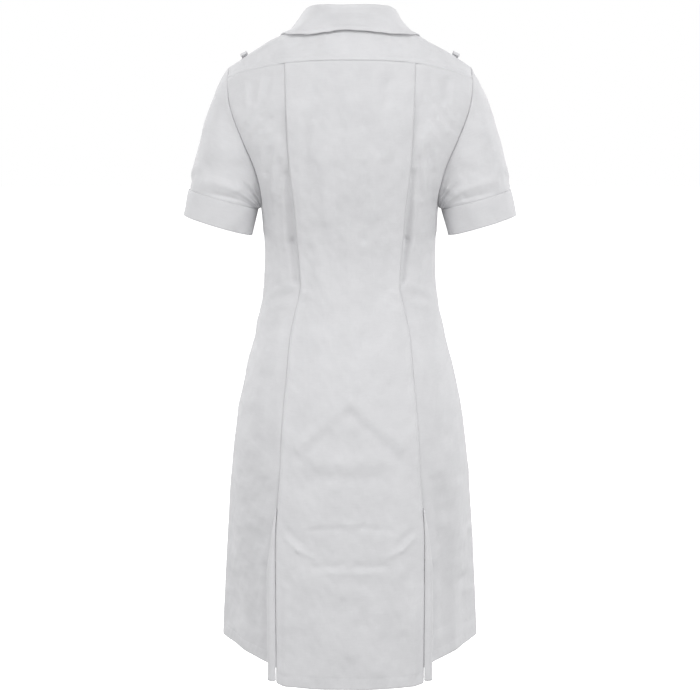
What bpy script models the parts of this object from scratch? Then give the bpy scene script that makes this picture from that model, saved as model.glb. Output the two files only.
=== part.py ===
"""Nurse uniform dress with short cuffed sleeves, in the hollow shape it has when worn.

Metres, +Z up. The front faces -Y and the wearer's left is +X. The origin is the
middle of the neck, level with the tops of the shoulders, which carry the dress.
Every piece is an open sheet at the outer face of the cloth, thickened inwards.
"""
import math

import bpy
from mathutils import Vector
from mathutils.bvhtree import BVHTree

# --- Driving dimensions ----------------------------------------------------

CLOTH = 0.0015            # wall of one layer of cloth
SEAM_GAP = 0.0006         # space between two edges that are sewn together
YOKE_GAP = 0.0012         # the same under the yoke, where the cloth turns over the shoulder
LAY_GAP = 0.0011          # air between a piece and the piece it lies on
LAP_RISE = CLOTH + LAY_GAP

HEM_SIDE = -0.989         # height of the hem at the side seams
HEM_BACK = -1.016         # height of the hem at the centre back
HEM_FRONT = -0.999        # height of the hem at the centre front
HEM_DIP_START = -0.70     # the hem's dip fades out at this height

UNDERARM = -0.277         # lowest point of the armhole
SHOULDER_TIP = -0.0564    # highest point of the armhole
ARMHOLE_DEPTH_BACK = 0.054
ARMHOLE_DEPTH_FRONT = 0.049

YOKE_SEAM_TURN = 35       # where the back yoke seam meets the armhole, in degrees from the tip
FRONT_SEAM_TURN = 40      # the same for the front yoke seam
YOKE_SEAM_CENTRE = -0.0512
NECK_SIDE = Vector((0.070, 0.0, 0.0065))
NECK_FRONT = Vector((0.004, -0.0975, -0.092))
NECK_LOWER = Vector((0.029, -0.084, -0.0655))
NECK_UPPER = Vector((0.052, -0.062, -0.0370))
FRONT_SEAM_NECK = Vector((0.0665, -0.033, -0.0105))

FRONT_LAP = 0.014         # each front passes the centre line by this much
FRONT_LAP_BLEND = 0.030   # width over which the upper front comes down again
FRONT_FLAT = 1.12         # above 1, the front is squarer than an oval
FRONT_STEPS = 10          # faces across one front
CHEST_BULGE = 0.020       # fullness of the upper chest between neckline and armhole

ACTION_UNDERLAP = 0.016   # side back tucked under the centre back above the waist
SEAM_UNDERLAP = 0.005     # the same where the seam is sewn down over the hips
WAIST = -0.405
PLEAT_TOP = -0.735        # the kick pleats open below this height
PLEAT_FOLD = 0.0135       # how far the folded edge stands past the seam

CUFF_OUTER_TOP = Vector((0.2578, 0.0, -0.2498))
CUFF_INNER_TOP = Vector((0.1480, 0.0, -0.2815))
CUFF_OUTER_HEM = Vector((0.2660, 0.0, -0.2913))
CUFF_INNER_HEM = Vector((0.1590, 0.0, -0.3232))
CUFF_HALF_DEPTH = 0.054
CUFF_PROUD = 0.0012       # the cuff stands this far outside the sleeve
SLEEVE_FACES = 20         # faces round the sleeve
SLEEVE_STEPS = 5          # faces down the sleeve
CUFF_STEPS = 3            # faces down the cuff

LOOP_ACROSS = 0.80        # place of the strap loop along the shoulder, neck to tip
LOOP_WIDTH = 0.011
LOOP_HALF_LENGTH = 0.026
LOOP_RISE = 0.0065        # height of the bridge over its sewn ends
LOOP_FOOT = 0.0039        # height of the sewn ends' outer face over the yoke
LOOP_STEPS = 10

BUTTON_COUNT = 8
BUTTON_TOP = -0.122
BUTTON_PITCH = 0.092
BUTTON_RADIUS = 0.0075
BUTTON_THICK = 0.0028

# Heights, sides and depths of the body of the dress. half: side seam from the
# middle. back, front: cloth from the middle at the centre lines. seam: princess
# line from the middle. sag: how far the centre back has come round at that line.
# step: how far the side back lies below the centre back. round: 1 is a full
# side, 0 a straight one.
BODY_COLUMNS = ("half", "back", "front", "seam", "sag", "step", "round")
BODY = (
    (-1.016, (0.2125, 0.178, 0.166, 0.1145, 0.011, 0.029, 0.15)),
    (-0.930, (0.2085, 0.173, 0.161, 0.1150, 0.011, 0.027, 0.20)),
    (-0.850, (0.2045, 0.167, 0.154, 0.1155, 0.012, 0.021, 0.35)),
    (-0.770, (0.1995, 0.160, 0.147, 0.1150, 0.012, 0.012, 0.55)),
    (-0.700, (0.1940, 0.153, 0.140, 0.1100, 0.013, 0.0035, 0.70)),
    (-0.610, (0.1828, 0.142, 0.131, 0.1060, 0.014, 0.0021, 0.85)),
    (-0.530, (0.1663, 0.124, 0.122, 0.0990, 0.016, 0.0021, 0.95)),
    (-0.480, (0.1527, 0.106, 0.114, 0.0950, 0.016, 0.0021, 1.0)),
    (-0.440, (0.1440, 0.092, 0.107, 0.0870, 0.015, 0.0021, 1.0)),
    (-0.400, (0.1393, 0.083, 0.101, 0.0785, 0.013, 0.0026, 1.0)),
    (-0.360, (0.1376, 0.080, 0.100, 0.0805, 0.013, 0.0028, 1.0)),
    (-0.320, (0.1378, 0.083, 0.108, 0.0840, 0.013, 0.0030, 1.0)),
    (-0.277, (0.1410, 0.090, 0.119, 0.0870, 0.013, 0.0030, 1.0)),
    (-0.230, (0.1400, 0.097, 0.123, 0.0926, 0.013, 0.0030, 0.95)),
    (-0.180, (0.1400, 0.101, 0.119, 0.0964, 0.013, 0.0028, 0.90)),
    (-0.130, (0.1400, 0.102, 0.110, 0.0986, 0.013, 0.0026, 0.85)),
    (-0.090, (0.1400, 0.0995, 0.101, 0.1000, 0.014, 0.0022, 0.80)),
    (-0.050, (0.1400, 0.094, 0.090, 0.1013, 0.015, 0.0021, 0.75)),
)

# How far the armhole seam stands from the middle, by the angle round the
# armhole from the tip of the shoulder (0) to the underarm (180).
ARMHOLE_OUT = (
    (0, (0.1920,)), (35, (0.1918,)), (52, (0.1912,)), (70, (0.1850,)), (93, (0.1685,)),
    (117, (0.1500,)), (148, (0.1400,)), (180, (0.1414,)),
)

# The collar from the centre back to its front end: the neck seam, the roll
# along its top, and its free edge.
COLLAR = (
    # seam                        roll                        free edge
    ((0.0000, 0.0655, 0.0135), (0.0000, 0.0745, 0.0353), (0.0000, 0.0880, -0.0005)),
    ((0.0300, 0.0625, 0.0125), (0.0325, 0.0710, 0.0353), (0.0380, 0.0865, -0.0015)),
    ((0.0520, 0.0480, 0.0110), (0.0560, 0.0540, 0.0345), (0.0780, 0.0790, -0.0055)),
    ((0.0650, 0.0270, 0.0090), (0.0690, 0.0290, 0.0320), (0.1010, 0.0500, -0.0120)),
    ((0.0700, 0.0000, 0.0065), (0.0730, 0.0000, 0.0285), (0.1130, 0.0040, -0.0150)),
    ((0.0665, -0.0330, -0.0105), (0.0710, -0.0350, 0.0120), (0.1120, -0.0420, -0.0310)),
    ((0.0500, -0.0640, -0.0390), (0.0560, -0.0690, -0.0200), (0.1010, -0.0790, -0.0640)),
    ((0.0270, -0.0860, -0.0680), (0.0330, -0.0930, -0.0530), (0.0850, -0.1010, -0.0980)),
    ((0.0080, -0.0970, -0.0890), (0.0120, -0.1040, -0.0830), (0.0600, -0.1080, -0.1260)),
)

COLLAR_LIES_FLAT = -0.06  # below this height the whole collar lies on the fronts
COLLAR_STEPS = 24         # faces along half the collar
COLLAR_AIR = 0.0030       # the fall keeps this far off the cloth below it
COLLAR_HOLLOW = 0.05      # how far the fall sinks between roll and edge, by its depth

CLOTH_COLOUR = (0.78, 0.79, 0.80, 1.0)
BUTTON_COLOUR = (0.86, 0.86, 0.85, 1.0)


# --- Small tools -----------------------------------------------------------

def between(table, at):
    """Smooth values of a table whose rows are (key, values), at one key."""
    rows = sorted(table)
    at = min(max(at, rows[0][0]), rows[-1][0])
    last = next(i for i in range(1, len(rows)) if at <= rows[i][0])
    near = [rows[max(0, min(len(rows) - 1, last + shift))] for shift in (-2, -1, 0, 1)]
    span = near[2][0] - near[1][0]
    part = (at - near[1][0]) / span
    values = []
    for before, start, end, after in zip(*(row[1] for row in near)):
        rise = end - start
        slope_in = rise if near[0] is near[1] else (end - before) * span / (near[2][0] - near[0][0])
        slope_out = rise if near[3] is near[2] else (after - start) * span / (near[3][0] - near[1][0])
        if rise * slope_in <= 0:
            slope_in = 0.0
        if rise * slope_out <= 0:
            slope_out = 0.0
        bend = (2 * part ** 3 - 3 * part ** 2 + 1) * start + (3 * part ** 2 - 2 * part ** 3) * end
        bend += (part ** 3 - 2 * part ** 2 + part) * slope_in + (part ** 3 - part ** 2) * slope_out
        values.append(bend)
    return values


def body(height):
    """The body's sizes at one height, by column name."""
    return dict(zip(BODY_COLUMNS, between(BODY, height)))


def armhole(turn):
    """A point on the left armhole; turn is in degrees, positive round the back."""
    angle = math.radians(abs(turn))
    depth = ARMHOLE_DEPTH_BACK if turn > 0 else -ARMHOLE_DEPTH_FRONT
    middle = (SHOULDER_TIP + UNDERARM) / 2
    reach = (SHOULDER_TIP - UNDERARM) / 2
    out = between(ARMHOLE_OUT, abs(turn))[0]
    return Vector((out, depth * math.sin(angle), middle + reach * math.cos(angle)))


def smooth_step(value, start, end):
    """0 before start, 1 after end, and an even change between them."""
    part = min(max((value - start) / (end - start), 0.0), 1.0)
    return part * part * (3 - 2 * part)


def spread(start, end, count):
    """count + 1 numbers from start to end."""
    return [start + (end - start) * i / count for i in range(count + 1)]


def along(points, part):
    """A point at a part (0 to 1) of the length of a line of points."""
    lengths = [(b - a).length for a, b in zip(points, points[1:])]
    left = part * sum(lengths)
    for start, end, length in zip(points, points[1:], lengths):
        if left <= length:
            return start.lerp(end, left / length)
        left -= length
    return points[-1].copy()


def resample(points, count):
    """The same line with count + 1 evenly spaced points."""
    return [along(points, i / count) for i in range(count + 1)]


def coons(bottom, top, left, right):
    """A patch between four border lines; rows run from bottom to top."""
    across = len(bottom) - 1
    up = len(left) - 1
    rows = []
    for j in range(up + 1):
        v = j / up
        row = []
        for i in range(across + 1):
            u = i / across
            ruled = bottom[i].lerp(top[i], v) + left[j].lerp(right[j], u)
            corners = bottom[0].lerp(bottom[-1], u).lerp(top[0].lerp(top[-1], u), v)
            row.append(ruled - corners)
        rows.append(row)
    return rows


def mirrored(rows):
    """The same grid on the wearer's other side, with its faces still outwards."""
    return [[Vector((-p.x, p.y, p.z)) for p in reversed(row)] for row in rows]


# --- Materials and objects -------------------------------------------------

def material(name, colour, roughness):
    """A plain finish for one piece."""
    made = bpy.data.materials.new(name)
    made.use_nodes = True
    shader = made.node_tree.nodes["Principled BSDF"]
    shader.inputs["Base Color"].default_value = colour
    shader.inputs["Roughness"].default_value = roughness
    shader.inputs["Metallic"].default_value = 0.0
    made.diffuse_color = colour
    return made


def place(name, mesh, colour, roughness, collection):
    """An object of its own, with its own material."""
    made = bpy.data.objects.new(name, mesh)
    mesh.materials.append(material(f"{name}_finish", colour, roughness))
    collection.objects.link(made)
    return made


def grid_mesh(name, rows, ring=False):
    """A mesh of four-sided faces through rows of points, facing outwards."""
    across = len(rows[0])
    columns = across if ring else across - 1
    faces = []
    for j in range(len(rows) - 1):
        for i in range(columns):
            after = (i + 1) % across
            faces.append((j * across + i, j * across + after, (j + 1) * across + after, (j + 1) * across + i))
    mesh = bpy.data.meshes.new(name)
    mesh.from_pydata([p for row in rows for p in row], [], faces)
    mesh.shade_smooth()
    return mesh


def sheet(name, mesh, collection):
    """A cut piece: an open sheet at its outer face, made as thick as the cloth."""
    made = place(name, mesh, CLOTH_COLOUR, 0.85, collection)
    wall = made.modifiers.new("Cloth wall", "SOLIDIFY")
    wall.thickness = CLOTH
    wall.offset = -1.0
    return made


def cloth(name, rows, collection, ring=False):
    """A cut piece through rows of points."""
    return sheet(name, grid_mesh(name, rows, ring), collection)


# --- The body of the dress -------------------------------------------------

SKIRT_ROWS = (-1.0, -0.93, -0.86, -0.80, PLEAT_TOP, -0.69, -0.63, -0.575, -0.525,
              -0.48, -0.44, WAIST, -0.37, -0.325)
ARMHOLE_TURNS = (180, 163, 145, 127, 109, 91, 74, 58, 45, YOKE_SEAM_TURN)
FRONT_TURNS = (180, 163, 145, 127, 109, 91, 76, 64, 55, 47, FRONT_SEAM_TURN)
NECK_TURN = 76            # the front rows above this angle start on the neckline
HEM_FADE = HEM_DIP_START - SKIRT_ROWS[0]


def hem_level(height, low):
    """A skirt row's height where the hem hangs at low."""
    share = min(max((HEM_DIP_START - height) / HEM_FADE, 0.0), 1.0)
    return height + (low - SKIRT_ROWS[0]) * share ** 2


def back_line(height, x):
    """Depth of the centre back's outer face at one height."""
    size = body(height)
    return size["back"] - size["sag"] * (x / size["seam"]) ** 2


def side_curve(height, edge, parts):
    """The side back's outer face from the princess line to edge."""
    size = body(height)
    start = Vector((size["seam"], size["back"] - size["sag"] - size["step"], 0.0))
    finish = Vector((edge.x, edge.y, 0.0))
    slope = 2 * size["sag"] / size["seam"]
    corner = Vector((finish.x, start.y - slope * (finish.x - start.x), 0.0))
    pull = ((start + finish) / 2).lerp(corner, size["round"])
    points = []
    for part in parts:
        points.append(start * (1 - part) ** 2 + pull * 2 * part * (1 - part) + finish * part ** 2)
    return points


def side_edge(height):
    """The side seam below the underarm."""
    return Vector((body(height)["half"], 0.0, height))


def yoke_drop(row_centre, edge, x):
    """Height along a row that sinks towards the armhole."""
    return row_centre + (edge.z - row_centre) * (x / edge.x) ** 3


def back_rows():
    """(centre height, edge point) of each row of the back, hem to yoke."""
    rows = [(height, side_edge(height)) for height in SKIRT_ROWS]
    for turn in ARMHOLE_TURNS:
        edge = armhole(turn)
        tilt = smooth_step(180 - turn, 0, 180 - YOKE_SEAM_TURN)
        lift = (YOKE_SEAM_CENTRE - armhole(YOKE_SEAM_TURN).z) * tilt ** 2
        rows.append((edge.z + lift, edge))
    return rows


def build_back_centre(collection):
    """The middle back, from the yoke to the hem, over both side backs."""
    steps = 5
    rows = []
    for height, edge in back_rows():
        seam = body(height)["seam"]
        row = []
        for x in spread(-seam, seam, 2 * steps):
            low = hem_level(height, HEM_BACK + 0.004 * (x / seam) ** 2)
            level = low if height < HEM_DIP_START else yoke_drop(height, edge, abs(x))
            row.append(Vector((x, back_line(height, x), level)))
        rows.append(row)
    trim_last_row(rows, YOKE_GAP)
    cloth("back_centre", [row[::-1] for row in rows], collection)


def trim_last_row(rows, gap):
    """Ends a grid short of the seam that its last row lies on."""
    for before, point in zip(rows[-2], rows[-1]):
        point -= (point - before).normalized() * gap


def trim_last_column(rows, gap):
    """Ends a grid short of the seam that its last column lies on."""
    for row in rows:
        row[-1] -= (row[-1] - row[-2]).normalized() * gap


def build_back_side(name, collection, mirror):
    """A side back: tucked under the centre back, out to side seam and armhole."""
    rows = []
    for height, edge in back_rows():
        size = body(height)
        above_waist = smooth_step(height, WAIST - 0.02, WAIST + 0.01)
        tuck = SEAM_UNDERLAP + (ACTION_UNDERLAP - SEAM_UNDERLAP) * above_waist
        row = []
        for part in (1.0, 0.5):
            x = size["seam"] - tuck * part
            row.append(Vector((x, back_line(height, x) - size["step"], 0.0)))
        row += side_curve(height, edge, spread(0.0, 1.0, 6))
        for point in row:
            low = HEM_SIDE - 0.006 * (edge.x - point.x) / (edge.x - size["seam"])
            level = hem_level(height, low)
            point.z = level if height < HEM_DIP_START else yoke_drop(height, edge, max(point.x, 0.0))
        rows.append(row)
    trim_last_row(rows, YOKE_GAP)
    trim_last_column(rows, SEAM_GAP)
    cloth(name, mirrored([r[::-1] for r in rows]) if mirror else [r[::-1] for r in rows], collection)


def build_pleat(name, collection, mirror):
    """A kick pleat: the folded edge beside the centre back, and its inner fold."""
    rows = []
    for height in [h for h in SKIRT_ROWS if h <= PLEAT_TOP]:
        size = body(height)
        top = size["back"] - size["sag"]
        inner = size["step"] - LAY_GAP
        opened = smooth_step(-height, -PLEAT_TOP - 0.01, 0.85)
        fold = PLEAT_FOLD * (0.55 + 0.45 * opened)
        profile = (
            # past the seam, above the seam
            (SEAM_GAP, 0.0),
            (fold * 0.40, 0.0012 * opened),
            (fold * 0.82, -0.0010),
            (fold, -inner * 0.22 - 0.0010),
            (fold * 0.75, -inner * 0.50),
            (fold * 0.45, -inner * 0.78),
            (fold * 0.30, -inner),
        )
        low = HEM_BACK + 0.011
        rows.append([Vector((size["seam"] + x, top + y, hem_level(height, low))) for x, y in profile])
    cloth(name, mirrored([r[::-1] for r in rows]) if mirror else [r[::-1] for r in rows], collection)


def front_curve(height, edge, count):
    """(x, depth) of the front's outer face: an oval from its lap to edge."""
    size = body(height)
    side = math.radians(90 - 34 * smooth_step(height, UNDERARM, -0.09))
    lap = math.asin((FRONT_LAP / edge.x) ** FRONT_FLAT * math.sin(side))
    points = []
    for angle in [-lap, 0.0] + spread(lap, side, count - 2):
        x = edge.x * (abs(math.sin(angle)) / math.sin(side)) ** (1 / FRONT_FLAT)
        fall = (1 - math.cos(angle)) / (1 - math.cos(side))
        points.append((math.copysign(x, angle), -(size["front"] - (size["front"] + edge.y) * fall)))
    return points


def front_rows():
    """(start point, height, edge point) of each row of a front, hem to yoke."""
    rows = [(None, height, side_edge(height)) for height in SKIRT_ROWS]
    neckline = [NECK_FRONT, NECK_LOWER, NECK_UPPER, FRONT_SEAM_NECK]
    tops = [turn for turn in FRONT_TURNS if turn < NECK_TURN]
    for turn in FRONT_TURNS:
        edge = armhole(-turn)
        if turn > NECK_TURN:
            rise = 0.030 * smooth_step(180 - turn, 0, 180 - NECK_TURN) ** 2
            rows.append((None, edge.z + rise, edge))
        elif turn == NECK_TURN:
            rows.append((None, NECK_FRONT.z - 0.012, edge))
        else:
            start = along(neckline, (tops.index(turn)) / (len(tops) - 1))
            rows.append((start, start.z, edge))
    return rows


def chest_line(start, edge, count):
    """A line over the chest from the neckline to the armhole."""
    points = []
    for part in spread(0.0, 1.0, count):
        bulge = CHEST_BULGE * math.sin(math.pi * part) * min(1.0, -start.z / 0.06 + 0.25)
        depth = start.y + (edge.y - start.y) * part ** 1.15 - bulge
        level = start.z + (edge.z - start.z) * part ** 0.9
        points.append(Vector((start.x + (edge.x - start.x) * part, depth, level)))
    return points


def build_front(name, collection, over):
    """A front, out to side seam and armhole; the right one laps over the left."""
    rows = []
    for start, height, edge in front_rows():
        row = []
        if start is None:
            line = [Vector((x, depth, height)) for x, depth in front_curve(height, edge, FRONT_STEPS)]
            for point in line:
                share = (max(point.x, 0.0) / edge.x) ** 2
                low = HEM_FRONT + (HEM_SIDE - HEM_FRONT) * share
                point.z = hem_level(height, low) if height <= UNDERARM else height + (edge.z - height) * share
        else:
            line = chest_line(start, edge, FRONT_STEPS)
        for x, depth, level in line:
            if over:
                depth -= LAP_RISE * (1 - smooth_step(x, FRONT_LAP, FRONT_LAP + FRONT_LAP_BLEND))
            row.append(Vector((x, depth, level)))
        rows.append(row)
    trim_last_row(rows, YOKE_GAP)
    trim_last_column(rows, SEAM_GAP)
    return cloth(name, mirrored(rows) if over else rows, collection)


# --- Yoke, sleeves, collar -------------------------------------------------

def collar_lines(at):
    """The collar's neck seam, roll and edge at a place between its table's rows."""
    keys = [(number, [c for point in row for c in point]) for number, row in enumerate(COLLAR)]
    values = between(keys, at)
    return [Vector(values[first:first + 3]) for first in (0, 3, 6)]


def neck_line():
    """The neck seam on the left: round the back to the side, then on to the front seam."""
    side = next(i for i, row in enumerate(COLLAR) if row[0][1] == NECK_SIDE.y)
    back = [collar_lines(at)[0] for at in spread(0.0, side, 2 * side)]
    front = [collar_lines(at)[0] for at in spread(side, side + 1.0, 3)]
    return back, front


def crest_line(count):
    """The top of the shoulder from the neck to the tip, a little hollow."""
    tip = armhole(0)
    points = []
    for part in spread(0.0, 1.0, count):
        point = NECK_SIDE.lerp(tip, part)
        point.z -= 0.0025 * math.sin(math.pi * part)
        points.append(point)
    return points


def yoke_patches():
    """The left half of the yoke: its back patch, then its front patch."""
    across = 9
    height = YOKE_SEAM_CENTRE
    edge = armhole(YOKE_SEAM_TURN)
    seam = body(height)["seam"]
    inner = [Vector((x, back_line(height, x), 0.0)) for x in spread(0.0, seam, 5)]
    outer = [p + Vector((0.0, body(height)["step"] * (1 - i / 4), 0.0))
             for i, p in enumerate(side_curve(height, edge, spread(0.25, 1.0, 3)), 1)]
    bottom = inner + outer
    for point in bottom:
        point.z = yoke_drop(height, edge, point.x)
    bottom = resample(bottom, across)
    back_neck, front_neck = neck_line()
    left = [bottom[0]] + back_neck
    right = [armhole(turn) for turn in spread(YOKE_SEAM_TURN, 0, len(left) - 1)]
    top = crest_line(across)
    back = coons(bottom, top, left, right)
    for j, row in enumerate(back):
        for i, point in enumerate(row):
            swell = math.sin(math.pi * j / (len(back) - 1)) * math.sin(math.pi * i / across)
            point.y += 0.004 * swell
            point.z += 0.0045 * swell
    front_left = front_neck
    front_right = [armhole(-turn) for turn in spread(0.001, FRONT_SEAM_TURN, 3)]
    front = coons(top, chest_line(front_left[-1], front_right[-1], across), front_left, front_right)
    for j, row in enumerate(front):
        for i, point in enumerate(row):
            swell = math.sin(math.pi * j / (len(front) - 1)) * math.sin(math.pi * i / across)
            point.z += 0.004 * swell
    return back, front


def build_yoke(collection):
    """The yoke: across the back, over both shoulders, to the front seams.

    Returns its object and the left half's grid, which the strap loops lie on.
    """
    back, front = yoke_patches()
    left = back + front[1:]
    trim_last_column(left, SEAM_GAP)
    right = mirrored(left)
    vertices = []
    faces = []
    index = {}

    def corner(point):
        key = tuple(round(c, 6) for c in point)
        if key not in index:
            index[key] = len(vertices)
            vertices.append(point)
        return index[key]

    for grid in (left, right):
        for low, high in zip(grid, grid[1:]):
            for i in range(len(low) - 1):
                ring = [corner(low[i]), corner(low[i + 1]), corner(high[i + 1]), corner(high[i])]
                ring = ring[::-1]
                faces.append(tuple(dict.fromkeys(ring)))
    mesh = bpy.data.meshes.new("yoke")
    mesh.from_pydata(vertices, [], faces)
    mesh.shade_smooth()
    return sheet("yoke", mesh, collection), left


def ring_point(outer, inner, half_depth, angle):
    """A point of an oval ring; 0 is the outer side and 90 degrees the back."""
    middle = (outer + inner) / 2
    return middle + (outer - inner) / 2 * math.cos(angle) + Vector((0.0, half_depth * math.sin(angle), 0.0))


def sleeve_columns():
    """(armhole point, cuff seam point, cuff hem point) round the left sleeve."""
    columns = []
    for number in range(SLEEVE_FACES):
        turn = number * 360 / SLEEVE_FACES
        signed = turn if turn <= 180 else turn - 360
        start = armhole(signed)
        angle = math.radians(turn)
        top = ring_point(CUFF_OUTER_TOP, CUFF_INNER_TOP, CUFF_HALF_DEPTH, angle)
        hem = ring_point(CUFF_OUTER_HEM, CUFF_INNER_HEM, CUFF_HALF_DEPTH, angle)
        columns.append((start, top, hem))
    return columns


def build_sleeve(name, collection, mirror):
    """A short set-in sleeve, from the armhole to the cuff seam."""
    axis = (CUFF_OUTER_HEM - CUFF_OUTER_TOP).normalized()
    rows = [[] for _ in range(SLEEVE_STEPS + 1)]
    for start, top, hem in sleeve_columns():
        height_share = (start.z - UNDERARM) / (SHOULDER_TIP - UNDERARM)
        leave = axis.lerp(Vector((0.62, 0.0, -0.78)), min(1.0, height_share * 1.25)).normalized()
        start = start + leave * SEAM_GAP
        finish = top - (hem - top).normalized() * SEAM_GAP
        reach = (finish - start).length
        near = start + leave * reach * 0.22
        far = finish - axis * reach * 0.40
        for row, t in zip(rows, spread(0.0, 1.0, SLEEVE_STEPS)):
            early = start * (1 - t) ** 3 + near * 3 * t * (1 - t) ** 2
            row.append(early + far * 3 * t ** 2 * (1 - t) + finish * t ** 3)
    rows = rows[::-1]
    return cloth(name, mirrored(rows) if mirror else rows, collection, ring=True)


def build_cuff(name, collection, mirror):
    """A turned-up cuff at the end of the sleeve."""
    rows = [[] for _ in range(CUFF_STEPS + 1)]
    middle = (CUFF_OUTER_HEM + CUFF_INNER_HEM) / 2
    for _, top, hem in sleeve_columns():
        out = (hem - middle).normalized() * CUFF_PROUD
        for row, part in zip(rows, spread(0.0, 1.0, CUFF_STEPS)):
            row.append(top.lerp(hem, part) + out)
    rows = rows[::-1]
    return cloth(name, mirrored(rows) if mirror else rows, collection, ring=True)


def collar_section(seam, roll, edge):
    """The collar's cut at one place: up the stand, over the roll, down to the edge."""
    seam = seam + Vector((0.0, 0.0, 0.0011))
    outward = Vector((edge.x - seam.x, edge.y - seam.y, 0.0)).normalized()
    height = roll.z - seam.z
    turn = min(0.0032, height * 0.3)
    stand = seam + outward * 0.0012
    stand_top = roll - outward * turn - Vector((0.0, 0.0, turn))
    leaf_top = roll + outward * turn - Vector((0.0, 0.0, turn * 1.2))
    fall = edge - leaf_top
    hollow = Vector((-outward.x, -outward.y, -0.7)) * fall.length * COLLAR_HOLLOW
    points = [stand, stand.lerp(stand_top, 0.55), stand_top, roll, leaf_top]
    for part in (0.35, 0.70):
        points.append(leaf_top + fall * part + hollow * math.sin(math.pi * part))
    points.append(edge)
    return points


def build_collar(collection, carriers):
    """A one-piece collar standing from the neck seam and falling over itself."""
    trees = []
    for carrier in carriers:
        faces = [tuple(face.vertices) for face in carrier.data.polygons]
        trees.append(BVHTree.FromPolygons([v.co for v in carrier.data.vertices], faces))
    half = []
    for at in spread(0.0, len(COLLAR) - 1.0, COLLAR_STEPS):
        half.append(collar_section(*collar_lines(at)))
    clearance = CLOTH + COLLAR_AIR
    for section in half:
        for i in range(4 if section[0].z > COLLAR_LIES_FLAT else 0, len(section)):
            for tree in trees:
                found, normal, _, _ = tree.find_nearest(section[i])
                rise = (section[i] - found).dot(normal)
                near = (section[i] - found).length
                if near < 0.03 and rise < clearance:
                    section[i] = section[i] + normal * (clearance - rise)
    columns = [[Vector((-p.x, p.y, p.z)) for p in section] for section in half[:0:-1]] + half
    rows = [list(row) for row in zip(*columns)]
    return cloth("collar", rows, collection)


def build_loop(name, collection, yoke, mirror):
    """A strap loop: a narrow strip bridging the shoulder from back to front."""
    column = LOOP_ACROSS * (len(yoke[0]) - 1)
    base = int(column)
    spine = [row[base].lerp(row[base + 1], column - base) for row in yoke]
    spine.sort(key=lambda p: p.y)
    outward = (armhole(0) - NECK_SIDE).normalized()
    rows = []
    for y in spread(-LOOP_HALF_LENGTH, LOOP_HALF_LENGTH, LOOP_STEPS):
        after = next(i for i in range(1, len(spine)) if spine[i].y >= y)
        part = (y - spine[after - 1].y) / (spine[after].y - spine[after - 1].y)
        point = spine[after - 1].lerp(spine[after], part)
        share = min(abs(y) / LOOP_HALF_LENGTH, 1.0)
        point.z += LOOP_FOOT + LOOP_RISE * (1 - share ** 2) ** 0.7
        rows.append([point + outward * (part_x * LOOP_WIDTH) for part_x in (-0.5, 0.0, 0.5)])
    return cloth(name, mirrored(rows) if mirror else rows, collection)


def build_buttons(collection, front):
    """Round buttons down the upper front, lying on its centre line."""
    tree = BVHTree.FromObject(front, bpy.context.evaluated_depsgraph_get())
    for number in range(BUTTON_COUNT):
        height = BUTTON_TOP - number * BUTTON_PITCH
        found, normal, _, _ = tree.ray_cast(Vector((0.0, -1.0, height)), Vector((0.0, 1.0, 0.0)))
        lift = BUTTON_THICK / 2 + 0.0003
        bpy.ops.mesh.primitive_cylinder_add(vertices=16, radius=BUTTON_RADIUS, depth=BUTTON_THICK)
        made = bpy.context.active_object
        made.name = f"button_{number + 1}"
        made.data.name = made.name
        made.rotation_euler = normal.to_track_quat("Z", "Y").to_euler()
        made.location = found + normal * lift
        made.data.materials.append(material(f"{made.name}_finish", BUTTON_COLOUR, 0.35))
        made.data.shade_smooth()
        made.data.set_sharp_from_angle(angle=math.radians(35))
        edge = made.modifiers.new("Rounded rim", "BEVEL")
        edge.width = 0.0006
        edge.segments = 1
        for owner in list(made.users_collection):
            owner.objects.unlink(made)
        collection.objects.link(made)


def main():
    for old in list(bpy.data.objects):
        bpy.data.objects.remove(old, do_unlink=True)
    dress = bpy.data.collections.new("nurse_uniform_dress")
    bpy.context.scene.collection.children.link(dress)
    build_back_centre(dress)
    front_left = build_front("front_left", dress, over=False)
    front_right = build_front("front_right", dress, over=True)
    yoke, yoke_grid = build_yoke(dress)
    for side, mirror in (("left", False), ("right", True)):
        build_back_side(f"back_side_{side}", dress, mirror)
        build_pleat(f"pleat_{side}", dress, mirror)
        build_sleeve(f"sleeve_{side}", dress, mirror)
        build_cuff(f"cuff_{side}", dress, mirror)
        build_loop(f"strap_loop_{side}", dress, yoke_grid, mirror)
    bpy.context.view_layer.update()
    build_buttons(dress, front_right)
    bpy.context.view_layer.update()
    build_collar(dress, [front_left, front_right, yoke])


main()
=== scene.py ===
"""Nurse uniform dress with short cuffed sleeves, in the hollow shape it has when worn.

Metres, +Z up. The front faces -Y and the wearer's left is +X.
"""
import math

import bpy
import numpy as np
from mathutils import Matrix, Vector
from mathutils.bvhtree import BVHTree


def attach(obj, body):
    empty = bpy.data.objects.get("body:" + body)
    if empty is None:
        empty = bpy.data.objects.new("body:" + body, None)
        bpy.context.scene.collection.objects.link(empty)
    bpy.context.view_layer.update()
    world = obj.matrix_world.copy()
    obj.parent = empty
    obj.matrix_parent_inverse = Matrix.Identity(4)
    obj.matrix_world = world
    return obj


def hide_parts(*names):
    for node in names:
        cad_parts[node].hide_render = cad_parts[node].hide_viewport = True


bl_info = {
    "name": "Nurse uniform dress",
    "version": (1, 0, 0),
    "blender": (4, 5, 0),
    "location": "3D View > Sidebar > Dress",
    "description": "Builds a hollow, filled-out nurse uniform dress piece by piece",
    "category": "Add Mesh",
}

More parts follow.
